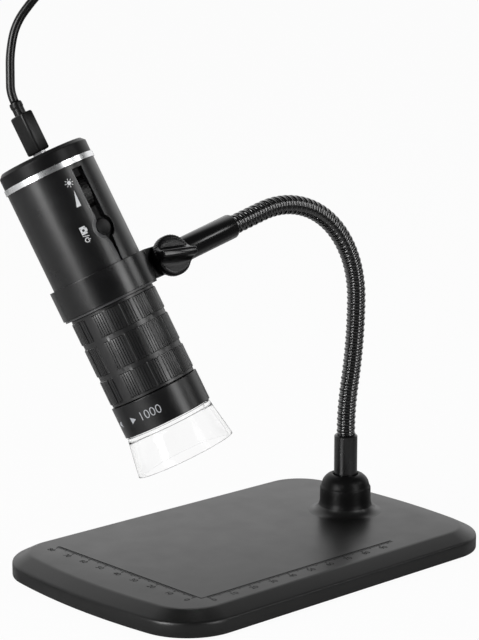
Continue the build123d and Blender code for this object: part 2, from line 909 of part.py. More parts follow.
coil_centre = Plane(origin=(coil_x, coil_y, 0), x_dir=(0, 1, 0), z_dir=(0, 0, 1))
coil_low = tie_thickness + lead_radius
coil_high = coil_low + coil_layer_rise
lead_start = scope_plane.from_local_coords((0, 0, relief_top))
lead_first = scope_plane.from_local_coords((0, 0, relief_top + lead_first_run))
coil_start = coil_centre.from_local_coords((coil_outer_reach, 0, coil_low))

# The route of the free run, from the strain relief up, over and down to the coil
lead_route = [
    (lead_start.X, lead_start.Y, lead_start.Z),
    (lead_first.X, lead_first.Y, lead_first.Z),
    (-89.5, 31.8, 197.1),
    (-88.4, 33.1, 205.6),
    (-85.4, 33.5, 215.6),
    (-79.4, 30.8, 224.1),
    (-73.2, 27.4, 231.4),
    (-70.6, 29.4, 245.8),
    (-78.1, 38.1, 256.1),
    (-90.1, 47.9, 256.1),
    (-99.2, 52.5, 244.9),
    (-101.0, 54.0, 222.0),
    (-102.6, 55.5, 190.0),
    (-102.0, 56.4, 150.0),
    (-101.4, 57.0, 108.0),
    (-102.4, 57.4, 70.0),
    (-103.6, 58.6, 36.0),
    (-107.0, 61.6, 14.5),
    (-113.4, 65.8, 4.4),
    (-121.6, 67.75, coil_low),
    (coil_start.X, coil_start.Y, coil_start.Z),
]


def corner_radii(route):
    """The largest arc that each corner's two runs leave room for."""
    points = [Vector(*p) for p in route]
    radii = []
    for before, corner, after in zip(points, points[1:], points[2:]):
        first, second = corner - before, after - corner
        half_turn = radians(first.get_angle(second)) / 2
        room_share = 0.45
        radii.append(room_share * min(first.length, second.length) / tan(half_turn))
    return radii


def lead_free_run():
    radii = corner_radii(lead_route)
    print("free run radii", [round(r, 1) for r in radii])
    path = FilletPolyline(*lead_route, radius=radii)
    print("free run length", round(path.length, 1))
    start = Plane(origin=path @ 0, z_dir=path % 0)
    section = RegularPolygon(lead_radius, lead_section_sides)
    run = sweep(start * section, path=path)
    expected = section.area * path.length
    print("free run volume against its section times length", round(run.volume / expected, 4))
    return run


def coil_ends():
    """Where each half turn ends on the coil's X axis, and its height, from the outside in and out."""
    reach = coil_outer_reach
    side = 1
    ends = [(side * reach, coil_low)]
    for i in range(coil_half_turns_in):
        side = -side
        reach -= coil_step
        ends.append((side * reach, coil_low))
    side = -side
    reach -= coil_step
    ends.append((side * reach, coil_high))
    for i in range(coil_half_turns_out):
        side = -side
        reach += coil_step
        ends.append((side * reach, coil_high))
    return ends


def coil_path():
    arcs = []
    for (x0, z0), (x1, z1) in zip(coil_ends(), coil_ends()[1:]):
        radius = hypot(x1 - x0, z1 - z0) / 2
        bow = radius if x1 < x0 else -radius
        arcs.append(ThreePointArc((x0, 0, z0), ((x0 + x1) / 2, bow, (z0 + z1) / 2), (x1, 0, z1)))
    return Wire(arcs)


def coil_gap():
    """The least distance between turns, measured on points along the path."""
    path = coil_path()
    samples = 240
    points = [path @ (i / samples) for i in range(samples + 1)]
    apart = samples // (len(coil_ends()) - 1)
    least = min(
        (points[i] - points[j]).length
        for i in range(samples + 1)
        for j in range(i + apart, samples + 1)
    )
    return least - 2 * lead_radius


def lead_coil():
    """Three loose turns in two layers, one unbroken tube of faceted section."""
    path = coil_path()
    print("coil length", round(path.length, 1), "least gap", round(coil_gap(), 2))
    start = Plane(origin=path @ 0, x_dir=(0, 0, 1), z_dir=path % 0)
    section = RegularPolygon(lead_radius, lead_section_sides, rotation=180 / lead_section_sides)
    return coil_centre.location * sweep(start * section, path=path)


tail_end = Vector(coil_outer_reach, tail_drop_run, far_plug_depth / 2)


def lead_tail():
    """The last stretch, easing down from the coil's upper layer into the far plug."""
    start = Vector(coil_outer_reach, 0, coil_high)
    ease = tail_drop_run / 3
    path = FilletPolyline(
        (start.X, start.Y, start.Z), (start.X, ease, start.Z),
        (tail_end.X, tail_end.Y - ease, tail_end.Z), (tail_end.X, tail_end.Y, tail_end.Z),
        radius=ease,
    )
    print("tail length", round(path.length, 1))
    start = Plane(origin=path @ 0, z_dir=path % 0)
    section = start * RegularPolygon(lead_radius, lead_section_sides)
    return coil_centre.location * sweep(section, path=path)


def coil_tie():
    """A strap round the bundle of turns on the side away from the plug."""
    reach_out = coil_outer_reach - coil_step + lead_radius + moving_gap
    reach_in = coil_outer_reach - 3 * coil_step - lead_radius - moving_gap
    top = coil_high + lead_radius + drop_in_gap
    outer = block(
        -reach_out - tie_thickness, -reach_in + tie_thickness, -tie_width / 2, tie_width / 2,
        0, top + tie_thickness,
    )
    inner = block(
        -reach_out, -reach_in, -tie_width, tie_width, tie_thickness - running_fit, top,
    )
    return coil_centre.location * (outer - inner)


def along_tail(piece):
    """Places a piece drawn about Z at the end of the tail, pointing on along it."""
    plane = Plane(origin=(tail_end.X, tail_end.Y, tail_end.Z), x_dir=(1, 0, 0), z_dir=(0, 1, 0))
    return coil_centre.location * (plane.location * piece)


def usb_a_overmould():
    """The moulded grip of the plug that goes into a charger or a computer, and its strain relief."""
    grip_foot = far_relief_length
    body = prism(Rectangle(far_plug_width, far_plug_depth), grip_foot, grip_foot + far_plug_length)
    body = chamfer(body.edges().filter_by(Axis.Z), far_plug_edge)
    body += turned(
        (0, 0), (relief_tip_radius, 0), (far_relief_radius, grip_foot + far_plug_edge),
        (0, grip_foot + far_plug_edge),
    )
    return along_tail(body)


def usb_a_shell():
    foot = far_relief_length + far_plug_length
    outer = Rectangle(far_shell_width, far_shell_depth)
    inner = Rectangle(far_shell_width - 2 * far_shell_wall, far_shell_depth - 2 * far_shell_wall)
    return along_tail(prism(outer - inner, foot, foot + far_shell_length))


def usb_a_tongue():
    """The plastic tongue that carries the contacts along one side of the shell."""
    foot = far_relief_length + far_plug_length
    wide = far_shell_width / 2 - far_shell_wall - push_fit
    low = -far_shell_depth / 2 + far_shell_wall + push_fit
    tongue = block(-wide, wide, low, low + far_tongue_depth, foot, foot + far_shell_length - far_shell_wall)
    return along_tail(tongue)


pieces = {
    "base_shell": base_shell,
    "bottom_cover": bottom_cover,
    "rubber_feet": rubber_feet,
    "base_screws": base_screws,
    "ballast_plate": ballast_plate,
    "neck_washer": neck_washer,
    "neck_nut": neck_nut,
    "foot_ferrule": foot_ferrule,
    "gooseneck": gooseneck,
    "arm_ferrule": arm_ferrule,
    "holder_ring": holder_ring,
    "ring_liner": ring_liner,
    "knob_washer": knob_washer,
    "clamp_knob": clamp_knob,
    "clamp_bolt": clamp_bolt,
    "clamp_nut": clamp_nut,
    "housing": housing,
    "trim_ring": trim_ring,
    "end_cap": end_cap,
    "dimmer_wheel": dimmer_wheel,
    "dimmer_pot": dimmer_pot,
    "shutter_button": shutter_button,
    "tact_switch": tact_switch,
    "main_board": main_board,
    "battery": battery,
    "charge_board": charge_board,
    "usb_socket": usb_socket,
    "front_barrel": front_barrel,
    "focus_ring": focus_ring,
    "lens_carriage": lens_carriage,
    "objective_lens": objective_lens,
    "sensor_board": sensor_board,
    "image_sensor": image_sensor,
    "led_spacer": led_spacer,
    "led_board": led_board,
    "leds": leds,
    "clear_cap": clear_cap,
    "usb_plug_shell": usb_plug_shell,
    "plug_overmould": plug_overmould,
    "strain_relief": strain_relief,
    "lead_free_run": lead_free_run,
    "lead_coil": lead_coil,
    "lead_tail": lead_tail,
    "coil_tie": coil_tie,
    "usb_a_overmould": usb_a_overmould,
    "usb_a_shell": usb_a_shell,
    "usb_a_tongue": usb_a_tongue,
}

for name, make in pieces.items():
    shape = make()
    shape.label = name
    export_step(shape, f"parts/{name}.step")

print("ring centre", tuple(round(v, 2) for v in ring_point))
print("scope up", tuple(round(v, 4) for v in scope_up))
print("arm outward", tuple(round(v, 4) for v in arm_outward))
print("bolt", tuple(round(v, 2) for v in bolt_point))
print("lead start", tuple(round(v, 2) for v in lead_start))
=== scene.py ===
import json
from math import atan2, cos, degrees, pi, radians, sin, sqrt

import bmesh
import bpy
from mathutils import Matrix, Vector


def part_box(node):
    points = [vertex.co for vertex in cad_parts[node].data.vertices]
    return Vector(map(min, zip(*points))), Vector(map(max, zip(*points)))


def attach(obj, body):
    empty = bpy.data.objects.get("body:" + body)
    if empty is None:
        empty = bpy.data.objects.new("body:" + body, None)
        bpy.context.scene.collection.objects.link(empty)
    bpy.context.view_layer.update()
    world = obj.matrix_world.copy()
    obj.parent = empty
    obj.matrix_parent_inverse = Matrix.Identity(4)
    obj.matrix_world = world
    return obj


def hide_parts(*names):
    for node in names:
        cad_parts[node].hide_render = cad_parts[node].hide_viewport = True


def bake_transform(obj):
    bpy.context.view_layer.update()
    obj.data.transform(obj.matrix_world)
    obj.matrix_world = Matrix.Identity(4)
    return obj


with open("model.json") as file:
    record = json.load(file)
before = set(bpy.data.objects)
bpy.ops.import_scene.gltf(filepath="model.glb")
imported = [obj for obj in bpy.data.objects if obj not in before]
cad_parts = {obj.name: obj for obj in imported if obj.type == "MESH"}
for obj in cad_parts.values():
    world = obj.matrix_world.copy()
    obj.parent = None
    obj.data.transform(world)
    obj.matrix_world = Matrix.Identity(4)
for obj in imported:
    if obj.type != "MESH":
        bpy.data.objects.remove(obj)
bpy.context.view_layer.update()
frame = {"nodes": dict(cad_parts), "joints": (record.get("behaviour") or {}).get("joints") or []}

MM = 0.001
nodes = frame["nodes"]
joints = {joint["name"]: joint for joint in frame["joints"]}


def linked(obj):
    bpy.context.scene.collection.objects.link(obj)
    return obj


def vector(*values):
    """A place in metres from its values in millimetres."""
    return Vector(values) * MM


def aimed(obj, place, target):
    """Puts a camera or a lamp at a place and turns it towards a target."""
    obj.location = place
    obj.rotation_euler = (target - place).to_track_quat("-Z", "Y").to_euler()
    return obj


# The camera, with the photograph's place and lens

CAMERA_PLACE = vector(-550.3, -585.7, 266.1)
CAMERA_AIM = vector(-40.25, -37.71, 110.0)
CAMERA_LENS, CAMERA_SENSOR, CAMERA_FAR = 118.125, 36, 30

camera_data = bpy.data.cameras.new("camera")
camera_data.lens = CAMERA_LENS
camera_data.sensor_width = CAMERA_SENSOR
camera_data.clip_end = CAMERA_FAR
camera = linked(bpy.data.objects.new("camera", camera_data))
bpy.context.scene.camera = aimed(camera, CAMERA_PLACE, CAMERA_AIM)


# The microscope's own axis, read from the joints of the frame

scope_up = -Vector(joints["scope_slide"]["axis"]).normalized()
ring_centre = Vector(joints["scope_turn"]["pos_m"])
arm_out = Vector(joints["dimmer_turn"]["axis"]).normalized()
scope_back = scope_up.cross(arm_out)
SCOPE = Matrix((
    (arm_out.x, scope_back.x, scope_up.x, ring_centre.x),
    (arm_out.y, scope_back.y, scope_up.y, ring_centre.y),
    (arm_out.z, scope_back.z, scope_up.z, ring_centre.z),
    (0, 0, 0, 1),
))
HERE = Matrix.Identity(4)


# Sizes that several sections share, in millimetres

POST_X = joints["neck_swing"]["pos_m"][0] / MM
NECK_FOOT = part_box("foot_ferrule")[1][2] / MM
BASE_TOP = 10.0
BODY_RADIUS = 17.3
CLAMP_REACH = 28.0
INK_LIFT = 0.04


# Meshes, outlines and the faces between rings of points


def mesh_piece(name, points, faces, place=HERE, smooth=True, finish=None):
    """A piece from its points and faces; finish may change the mesh before its faces are turned outwards."""
    mesh = bpy.data.meshes.new(name)
    mesh.from_pydata([place @ Vector(p) for p in points], [], faces)
    bm = bmesh.new()
    bm.from_mesh(mesh)
    if finish:
        finish(bm)
    bmesh.ops.recalc_face_normals(bm, faces=bm.faces)
    bm.to_mesh(mesh)
    bm.free()
    if smooth:
        mesh.shade_smooth()
    return linked(bpy.data.objects.new(name, mesh))


def ring_faces(rings, sides, closed=True):
    """Faces between rings of points; open rings have none between their last and first point."""
    faces = []
    for i in range(rings - 1):
        for j in range(sides if closed else sides - 1):
            a = i * sides + j
            b = i * sides + (j + 1) % sides
            faces.append((a, b, b + sides, a + sides))
    return faces


def capped(rings, sides):
    """The rings' faces and a lid at each end."""
    last = (rings - 1) * sides
    return ring_faces(rings, sides) + [tuple(range(sides)), tuple(range(last, last + sides))]


def joined(rings, sides):
    """The rings' faces, with the last ring joined to the first."""
    last = (rings - 1) * sides
    return ring_faces(rings, sides) + [
        (last + k, last + (k + 1) % sides, (k + 1) % sides, k) for k in range(sides)
    ]


def creased(obj, angle):
    """Smooth, but sharp wherever two faces meet at more than an angle in degrees."""
    obj.data.shade_smooth()
    obj.data.set_sharp_from_angle(angle=radians(angle))
    return obj


def arc(centre_x, centre_z, radius, start, end, steps=8):
    """Points of an arc from a start to an end in degrees."""
    rows = []
    for k in range(steps + 1):
        turn = radians(start + (end - start) * k / steps)
        rows.append((centre_x + radius * cos(turn), centre_z + radius * sin(turn)))
    return rows


def rounded_outline(half_x, half_y, corner, per_corner):
    """Points of a rounded rectangle, corner after corner."""
    rows = []
    for way_x, way_y, start in ((1, 1, 0), (-1, 1, 90), (-1, -1, 180), (1, -1, 270)):
        centre_x, centre_y = way_x * (half_x - corner), way_y * (half_y - corner)
        rows += arc(centre_x, centre_y, corner, start, start + 90, per_corner - 1)
    return rows


def turned(name, profile, place, sides):
    """A closed outline of radius and height, turned about the place's axis."""
    points = []
    for radius, height in profile:
        for k in range(sides):
            turn = 2 * pi * k / sides
            points.append(vector(radius * cos(turn), radius * sin(turn), height))
    return mesh_piece(name, points, joined(len(profile), sides), place)


def frames_along(points):
    """A tangent and two square directions at each point of a line, turning as little as possible."""
    tangents = []
    last = len(points) - 1
    for i in range(len(points)):
        tangents.append((points[min(i + 1, last)] - points[max(i - 1, 0)]).normalized())
    side = tangents[0].orthogonal().normalized()
    result = []
    for tangent in tangents:
        side = (side - tangent * side.dot(tangent)).normalized()
        result.append((tangent, side, tangent.cross(side)))
    return result


def hose(name, points, frames, radius, sides=16):
    """A round tube along a line, with a lid at each end."""
    rings = []
    for point, (tangent, side, other) in zip(points, frames):
        for k in range(sides):
            turn = 2 * pi * k / sides
            rings.append(point + side * radius * cos(turn) + other * radius * sin(turn))
    return mesh_piece(name, rings, capped(len(points), sides))


# The lead: one spline from the strain relief to the far plug

LEAD_RADIUS = 1.65 * MM
COIL = vector(-130.0, 46.0, 0)
TURN_STEPS = 8
SPLINE_STEPS, SPLINE_ORDER = 8, 3


def coil_point(x, y, z):
    """A point of the coil: its own X runs along world +Y and its own Y along world -X."""
    return COIL + vector(-y, x, z)


# The free run's control points, from the strain relief down to the table
free_run = [
    SCOPE @ vector(0, 0, 74.9),
    SCOPE @ vector(0, 0, 78.5),
    vector(-89.5, 31.8, 197.1),
    vector(-88.4, 33.1, 205.6),
    vector(-85.4, 33.5, 215.6),
    vector(-79.4, 30.8, 224.1),
    vector(-73.2, 27.4, 231.4),
    vector(-70.6, 29.4, 245.8),
    vector(-78.1, 38.1, 256.1),
    vector(-90.1, 47.9, 256.1),
    vector(-99.2, 52.5, 244.9),
    vector(-101.0, 54.0, 222.0),
    vector(-102.6, 55.5, 190.0),
    vector(-102.0, 56.4, 150.0),
    vector(-101.4, 57.0, 108.0),
    vector(-102.4, 57.4, 70.0),
    vector(-103.6, 58.6, 36.0),
    vector(-107.0, 61.6, 14.5),
    vector(-113.4, 65.8, 4.4),
    vector(-121.6, 67.75, 2.25),
]

# How far across and how high each half turn of the coil begins, and the last one ends
turn_ends = [
    (21.75, 2.25), (-18.95, 2.25), (16.15, 2.25), (-13.35, 8.05), (16.15, 8.05), (-18.95, 8.05),
    (21.75, 8.05),
]
turns = []
for (x0, z0), (x1, z1) in zip(turn_ends, turn_ends[1:]):
    middle = (x0 + x1) / 2
    radius = abs(x1 - x0) / 2
    bow = 1 if x1 < x0 else -1
    for k in range(TURN_STEPS):
        share = k / TURN_STEPS
        x = middle + (x0 - middle) * cos(pi * share)
        turns.append(coil_point(x, bow * radius * sin(pi * share), z0 + (z1 - z0) * share))

# The tail, from the coil into the far plug
tail = [
    coil_point(21.75, 0, 8.05), coil_point(21.75, 6.7, 7.6), coil_point(21.75, 13.3, 4.4),
    coil_point(21.75, 20, 4.0),
]


def spline_points(name, controls):
    """The points of the smooth line that the control points pull."""
    curve = bpy.data.curves.new(name, "CURVE")
    curve.dimensions = "3D"
    curve.resolution_u = SPLINE_STEPS
    spline = curve.splines.new("NURBS")
    spline.points.add(len(controls) - 1)
    for point, place in zip(spline.points, controls):
        point.co = (place.x, place.y, place.z, 1)
    spline.order_u = SPLINE_ORDER
    spline.use_endpoint_u = True
    holder = linked(bpy.data.objects.new(name, curve))
    bpy.context.view_layer.update()
    line = bpy.data.meshes.new_from_object(holder)
    points = [v.co.copy() for v in line.vertices]
    bpy.data.objects.remove(holder)
    bpy.data.meshes.remove(line)
    return points


def run_length(points):
    return sum((b - a).length for a, b in zip(points, points[1:]))


lead_line = spline_points("lead_line", free_run + turns + tail)
lead_frames = frames_along(lead_line)


def nearest(place):
    """The number of the lead's point that lies nearest to a place."""
    return min(range(len(lead_line)), key=lambda i: (lead_line[i] - place).length)


# The free run is cut at these control points into pieces
CUT_POINTS = (6, 9, 12, 14)
coil_cut = nearest(turns[0])
cuts = [0] + [nearest(free_run[i]) for i in CUT_POINTS] + [coil_cut]
lead_pieces = []
for number, (first, last) in enumerate(zip(cuts, cuts[1:])):
    points = lead_line[first:last + 1]
    piece = hose("lead_run_%d" % (number + 1), points, lead_frames[first:last + 1], LEAD_RADIUS)
    tuple(points[0])
    tuple(points[-1])
    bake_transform(piece)
    tuple(points[0])
    run_length(points)
    [tuple(p) for p in points]
    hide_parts("lead_free_run")
    lead_pieces.append(piece)

coil_points = lead_line[coil_cut:]
lead_turns = hose("lead_turns", coil_points, lead_frames[coil_cut:], LEAD_RADIUS)
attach(lead_turns, "base")
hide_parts("lead_coil", "lead_tail")
tuple(coil_points[0])
run_length(coil_points)
[tuple(p) for p in coil_points]
lead_pieces.append(lead_turns)


# Steps that the node trees of materials, floor and world share


def empty_tree(owner):
    """The node tree of a new material or world, with nothing in it."""
    owner.use_nodes = True
    owner.node_tree.nodes.clear()
    return owner.node_tree


def noise_over(tree, where, scale, detail):
    """Noise over the piece's own coordinates."""
    cloud = tree.nodes.new("ShaderNodeTexNoise")
    cloud.inputs["Scale"].default_value = scale
    cloud.inputs["Detail"].default_value = detail
    tree.links.new(where.outputs["Object"], cloud.inputs["Vector"])
    return cloud.outputs["Fac"]


def ranged(tree, value, span, result, interpolation="LINEAR"):
    """Carries a value from one span over to another."""
    node = tree.nodes.new("ShaderNodeMapRange")
    node.interpolation_type = interpolation
    node.inputs["From Min"].default_value, node.inputs["From Max"].default_value = span
    node.inputs["To Min"].default_value, node.inputs["To Max"].default_value = result
    tree.links.new(value, node.inputs["Value"])
    return node.outputs["Result"]


def vector_step(tree, operation, value, other=(0, 0, 0)):
    """One step of vector arithmetic, with a fixed second vector."""
    node = tree.nodes.new("ShaderNodeVectorMath")
    node.operation = operation
    node.inputs[1].default_value = other
    tree.links.new(value, node.inputs[0])
    return node.outputs["Value" if operation in ("DOT_PRODUCT", "LENGTH") else "Vector"]


def seen_directly(tree):
    """1 where the camera looks straight or through clear pieces, and 0 for all other light."""
    rays = tree.nodes.new("ShaderNodeLightPath")
    either = tree.nodes.new("ShaderNodeMath")
    either.operation = "MAXIMUM"
    tree.links.new(rays.outputs["Is Camera Ray"], either.inputs[0])
    tree.links.new(rays.outputs["Is Transmission Ray"], either.inputs[1])
    return either.outputs[0]


def mixed_output(tree, output, share, plain, direct):
    """Ends a tree in two shaders, mixed by a share."""
    mixed = tree.nodes.new("ShaderNodeMixShader")
    tree.links.new(share, mixed.inputs["Fac"])
    tree.links.new(plain.outputs[0], mixed.inputs[1])
    tree.links.new(direct.outputs[0], mixed.inputs[2])
    tree.links.new(mixed.outputs[0], tree.nodes.new(output).inputs[0])


# Materials: noise scales are per metre, and bump_depth and edge are in metres

NOISE_SPAN = (0.3, 0.7)
COLOUR_DETAIL, ROUGH_DETAIL, GRAIN_DETAIL = 3, 4, 2
SMOOTHEST = 0.02
BEVEL_SAMPLES = 6


def shader(name, colour, roughness, metallic=0.0, spread=0.18, colour_scale=60.0, rough_spread=0.08,
           rough_scale=160.0, grain=1800.0, bump=0.15, bump_depth=0.00003, edge=0.0, **sockets):
    """Moulded or plated material: colour and roughness drift slowly, and a fine grain lifts the skin."""
    material = bpy.data.materials.new(name)
    tree = empty_tree(material)
    new, link = tree.nodes.new, tree.links.new
    out = new("ShaderNodeOutputMaterial")
    body = new("ShaderNodeBsdfPrincipled")
    link(body.outputs[0], out.inputs[0])
    where = new("ShaderNodeTexCoord")

    ramp = new("ShaderNodeValToRGB")
    first, last = ramp.color_ramp.elements[0], ramp.color_ramp.elements[1]
    first.position, last.position = NOISE_SPAN
    first.color = (*[c * (1 - spread) for c in colour], 1)
    last.color = (*[min(1, c * (1 + spread)) for c in colour], 1)
    link(noise_over(tree, where, colour_scale, COLOUR_DETAIL), ramp.inputs["Fac"])
    link(ramp.outputs["Color"], body.inputs["Base Color"])

    wear = noise_over(tree, where, rough_scale, ROUGH_DETAIL)
    finish = (max(SMOOTHEST, roughness - rough_spread), min(1, roughness + rough_spread))
    link(ranged(tree, wear, NOISE_SPAN, finish), body.inputs["Roughness"])

    lift = new("ShaderNodeBump")
    lift.inputs["Strength"].default_value = bump
    lift.inputs["Distance"].default_value = bump_depth
    link(noise_over(tree, where, grain, GRAIN_DETAIL), lift.inputs["Height"])
    if edge:
        soft = new("ShaderNodeBevel")
        soft.samples = BEVEL_SAMPLES
        soft.inputs["Radius"].default_value = edge
        link(soft.outputs["Normal"], lift.inputs["Normal"])
    link(lift.outputs["Normal"], body.inputs["Normal"])
    body.inputs["Metallic"].default_value = metallic
    for socket, value in sockets.items():
        body.inputs[socket.replace("_", " ")].default_value = value
    return material


BLACK = (0.004, 0.004, 0.0043)
DEEP_BLACK = (0.002, 0.002, 0.0022)
BASE_BLACK = (0.005, 0.005, 0.005)
TUBE_FINISH = dict(roughness=0.3, rough_spread=0.03, edge=0.0004, bump=0.1)
BASE_FINISH = dict(roughness=0.35, rough_spread=0.02, spread=0.2, grain=2600, bump=0.25, colour_scale=40,
                   rough_scale=90, Specular_IOR_Level=0.42)
PRINT_FINISH = dict(roughness=0.5, spread=0.06, grain=2500, bump=0.2)

satin = shader("satin_black", BLACK, **TUBE_FINISH)
body_skin = shader("body_skin", BLACK, **TUBE_FINISH)
base_skin = shader("base_skin", BASE_BLACK, **BASE_FINISH)
boss_skin = shader("boss_skin", BASE_BLACK, **BASE_FINISH)
ring_skin = shader("ring_skin", BLACK, roughness=0.25, rough_spread=0.03, edge=0.0004, bump=0.06)
cap_skin = shader("cap_skin", BLACK, roughness=0.36, rough_spread=0.03, edge=0.0006, bump=0.12,
                  Specular_IOR_Level=0.18)
grip_skin = shader("grip_skin", BLACK, roughness=0.34, rough_spread=0.04, bump=0.1, Specular_IOR_Level=0.7)
wheel_skin = shader("wheel_skin", (0.003, 0.003, 0.003), roughness=0.42, grain=1300, bump=1.0,
                    bump_depth=0.0002, Specular_IOR_Level=0.4)
# Painted highlight: a grey much lighter than the other blacks, so the channel's edge reads as lit
painted_highlight_edge = shader("painted_highlight_edge", (0.06, 0.061, 0.064), roughness=0.3, bump=0.05, Specular_IOR_Level=0.8)
gloss = shader("gloss_black", (0.003, 0.003, 0.0033), roughness=0.2, rough_spread=0.04, bump=0.05)
neck_metal = shader("neck_metal", DEEP_BLACK, roughness=0.15, bump=0.02, rough_spread=0.03,
                    Specular_IOR_Level=1.0, Coat_Weight=0.6, Coat_Roughness=0.12)
ferrule_skin = shader("ferrule_skin", DEEP_BLACK, roughness=0.26, rough_spread=0.03, bump=0.06,
                      Specular_IOR_Level=0.7)
arm_skin = shader("arm_skin", DEEP_BLACK, roughness=0.19, rough_spread=0.02, bump=0.05,
                  Specular_IOR_Level=0.6)
lead_skin = shader("lead_skin", (0.003, 0.003, 0.003), roughness=0.28, grain=3000, bump=0.02,
                   Specular_IOR_Level=0.4)
overmould_skin = shader("overmould_skin", (0.004, 0.004, 0.004), roughness=0.36, grain=1500, bump=0.2,
                        Specular_IOR_Level=0.3)
chrome = shader("chrome", (0.86, 0.87, 0.88), roughness=0.27, metallic=1, spread=0.03, rough_spread=0.02,
                bump=0.01)
liner_skin = shader("liner_skin", (0.05, 0.05, 0.052), roughness=0.3, spread=0.05, bump=0.05)
zinc = shader("zinc", (0.60, 0.60, 0.61), roughness=0.32, metallic=1, spread=0.08, bump=0.15, edge=0.0002)
rubber = shader("rubber", (0.012, 0.012, 0.012), roughness=0.8, grain=900, bump=0.5)
board_green = shader("board_green", (0.02, 0.12, 0.05), roughness=0.4, bump=0.2)
cell_wrap = shader("cell_wrap", (0.45, 0.47, 0.50), roughness=0.35, bump=0.3, grain=400)
lamp_resin = shader("lamp_resin", (0.90, 0.86, 0.55), roughness=0.3, spread=0.06)
inner_black = shader("inner_black", (0.015, 0.015, 0.015), roughness=0.7, bump=0.3)
print_grey = shader("print_grey", (0.34, 0.35, 0.37), **PRINT_FINISH)
print_white = shader("print_white", (0.58, 0.59, 0.6), **PRINT_FINISH)
print_black = shader("print_black", (0.004, 0.004, 0.004), roughness=0.9, spread=0.2, grain=2500, bump=0.2,
                     Specular_IOR_Level=0.0)
clear = shader("clear_plastic", (0.995, 0.995, 0.995), roughness=0.05, rough_spread=0.03, spread=0.01,
               bump=0.02, Transmission_Weight=1.0, IOR=1.18)
lens_glass = shader("lens_glass", (0.93, 0.97, 0.96), roughness=0.04, rough_spread=0.02, spread=0.01,
                    bump=0.0, Transmission_Weight=1.0, IOR=1.52, Coat_Weight=0.4)


def dull_below(material, place, radius, low, high):
    """Takes the shine off the skin wherever it lies deeper than a radius from the place's axis."""
    fade = 0.15
    tree = material.node_tree
    body = next(node for node in tree.nodes if node.type == "BSDF_PRINCIPLED")
    where = tree.nodes.new("ShaderNodeTexCoord")
    local = vector_step(tree, "SUBTRACT", where.outputs["Object"], place.translation)
    away = vector_step(tree, "CROSS_PRODUCT", local, place.col[2].to_3d())
    size = vector_step(tree, "LENGTH", away)
    shine = ranged(tree, size, ((radius - fade) * MM, radius * MM), (low, high))
    tree.links.new(shine, body.inputs["Specular IOR Level"])


# Radius in millimetres, and the shine inside and outside it
TUBE_DULL = (17.1, 0.11, 0.5)
BOSS_DULL = (11.2, 0.12, 0.42)
POST = Matrix.Translation(vector(POST_X, 0, 0))
dull_below(body_skin, SCOPE, *TUBE_DULL)
dull_below(boss_skin, POST, *BOSS_DULL)

finishes = {
    base_skin: ["base_shell", "bottom_cover"],
    rubber: ["rubber_feet"],
    zinc: ["base_screws", "ballast_plate", "neck_nut", "neck_washer", "knob_washer", "clamp_bolt",
           "clamp_nut", "usb_socket", "usb_plug_shell", "usb_a_shell"],
    ferrule_skin: ["foot_ferrule", "arm_ferrule"],
    chrome: ["trim_ring"],
    liner_skin: ["ring_liner"],
    satin: ["front_barrel"],
    body_skin: ["housing"],
    ring_skin: ["holder_ring"],
    cap_skin: ["end_cap", "shutter_button"],
    grip_skin: ["focus_ring"],
    wheel_skin: ["dimmer_wheel"],
    gloss: ["clamp_knob"],
    neck_metal: ["gooseneck"],
    overmould_skin: ["plug_overmould", "strain_relief", "usb_a_overmould"],
    lead_skin: ["lead_free_run", "lead_coil", "lead_tail"],
    inner_black: ["dimmer_pot", "tact_switch", "lens_carriage", "led_spacer", "usb_a_tongue", "image_sensor",
                  "coil_tie"],
    board_green: ["main_board", "charge_board", "sensor_board", "led_board"],
    cell_wrap: ["battery"],
    lamp_resin: ["leds"],
    clear: ["clear_cap"],
    lens_glass: ["objective_lens"],
}


def dressed(obj, material):
    obj.data.materials.clear()
    obj.data.materials.append(material)
    return obj


for material, names in finishes.items():
    for name in names:
        dressed(nodes[name], material)

for piece in lead_pieces:
    dressed(piece, lead_skin)


# The wound neck: a large wire and a smaller one between its turns

FOOT_RUN, TIP_RUN = 2.0, 16.5
LEAN_TURN, LEAN_RADIUS, BACK_RADIUS = 11, 100.0, 185.0
ARCH_TURN, ARCH_RADIUS = 104.2, 43.2
neck_parts = [
    (FOOT_RUN, 0),
    (LEAN_RADIUS * radians(LEAN_TURN), -LEAN_TURN),
    (BACK_RADIUS * radians(LEAN_TURN), LEAN_TURN),
    (ARCH_RADIUS * radians(ARCH_TURN), ARCH_TURN),
    (TIP_RUN, 0),
]
neck_run = sum(length for length, turn in neck_parts)


def neck_place(distance):
    """Centre and square direction of the neck's line at a distance from the foot ferrule."""
    x, z, heading, left = POST_X, NECK_FOOT, 0.0, distance
    for length, turn in neck_parts:
        step = min(left, length)
        swing = radians(turn) * step / length
        if turn:
            radius = length / radians(turn)
            x += radius * (cos(heading + swing) - cos(heading))
            z += radius * (sin(heading + swing) - sin(heading))
        else:
            x -= step * sin(heading)
            z += step * cos(heading)
        heading += swing
        left -= step
    return vector(x, 0, z), Vector((cos(heading), 0, sin(heading)))


# The turns lie wider apart in the arch than in the post
WIND_PITCH, OPEN_PITCH = 2.42, 2.8
OPEN_FROM, OPEN_OVER = 32.0, 6.0
NECK_SIDES = 28
NECK_END_RADIUS = 2.9

# Metres: how near two points are made one
WELD = 0.000004

# Share of one turn and radius there: the large wire, then the small one
wire_profile = [
    (0.00, 3.42), (0.04, 3.60), (0.10, 3.74), (0.18, 3.83), (0.27, 3.86),
    (0.35, 3.86), (0.44, 3.83), (0.52, 3.74), (0.58, 3.60),
    (0.62, 3.42), (0.67, 3.53), (0.73, 3.60), (0.79, 3.62), (0.85, 3.61), (0.91, 3.55), (0.96, 3.48),
]


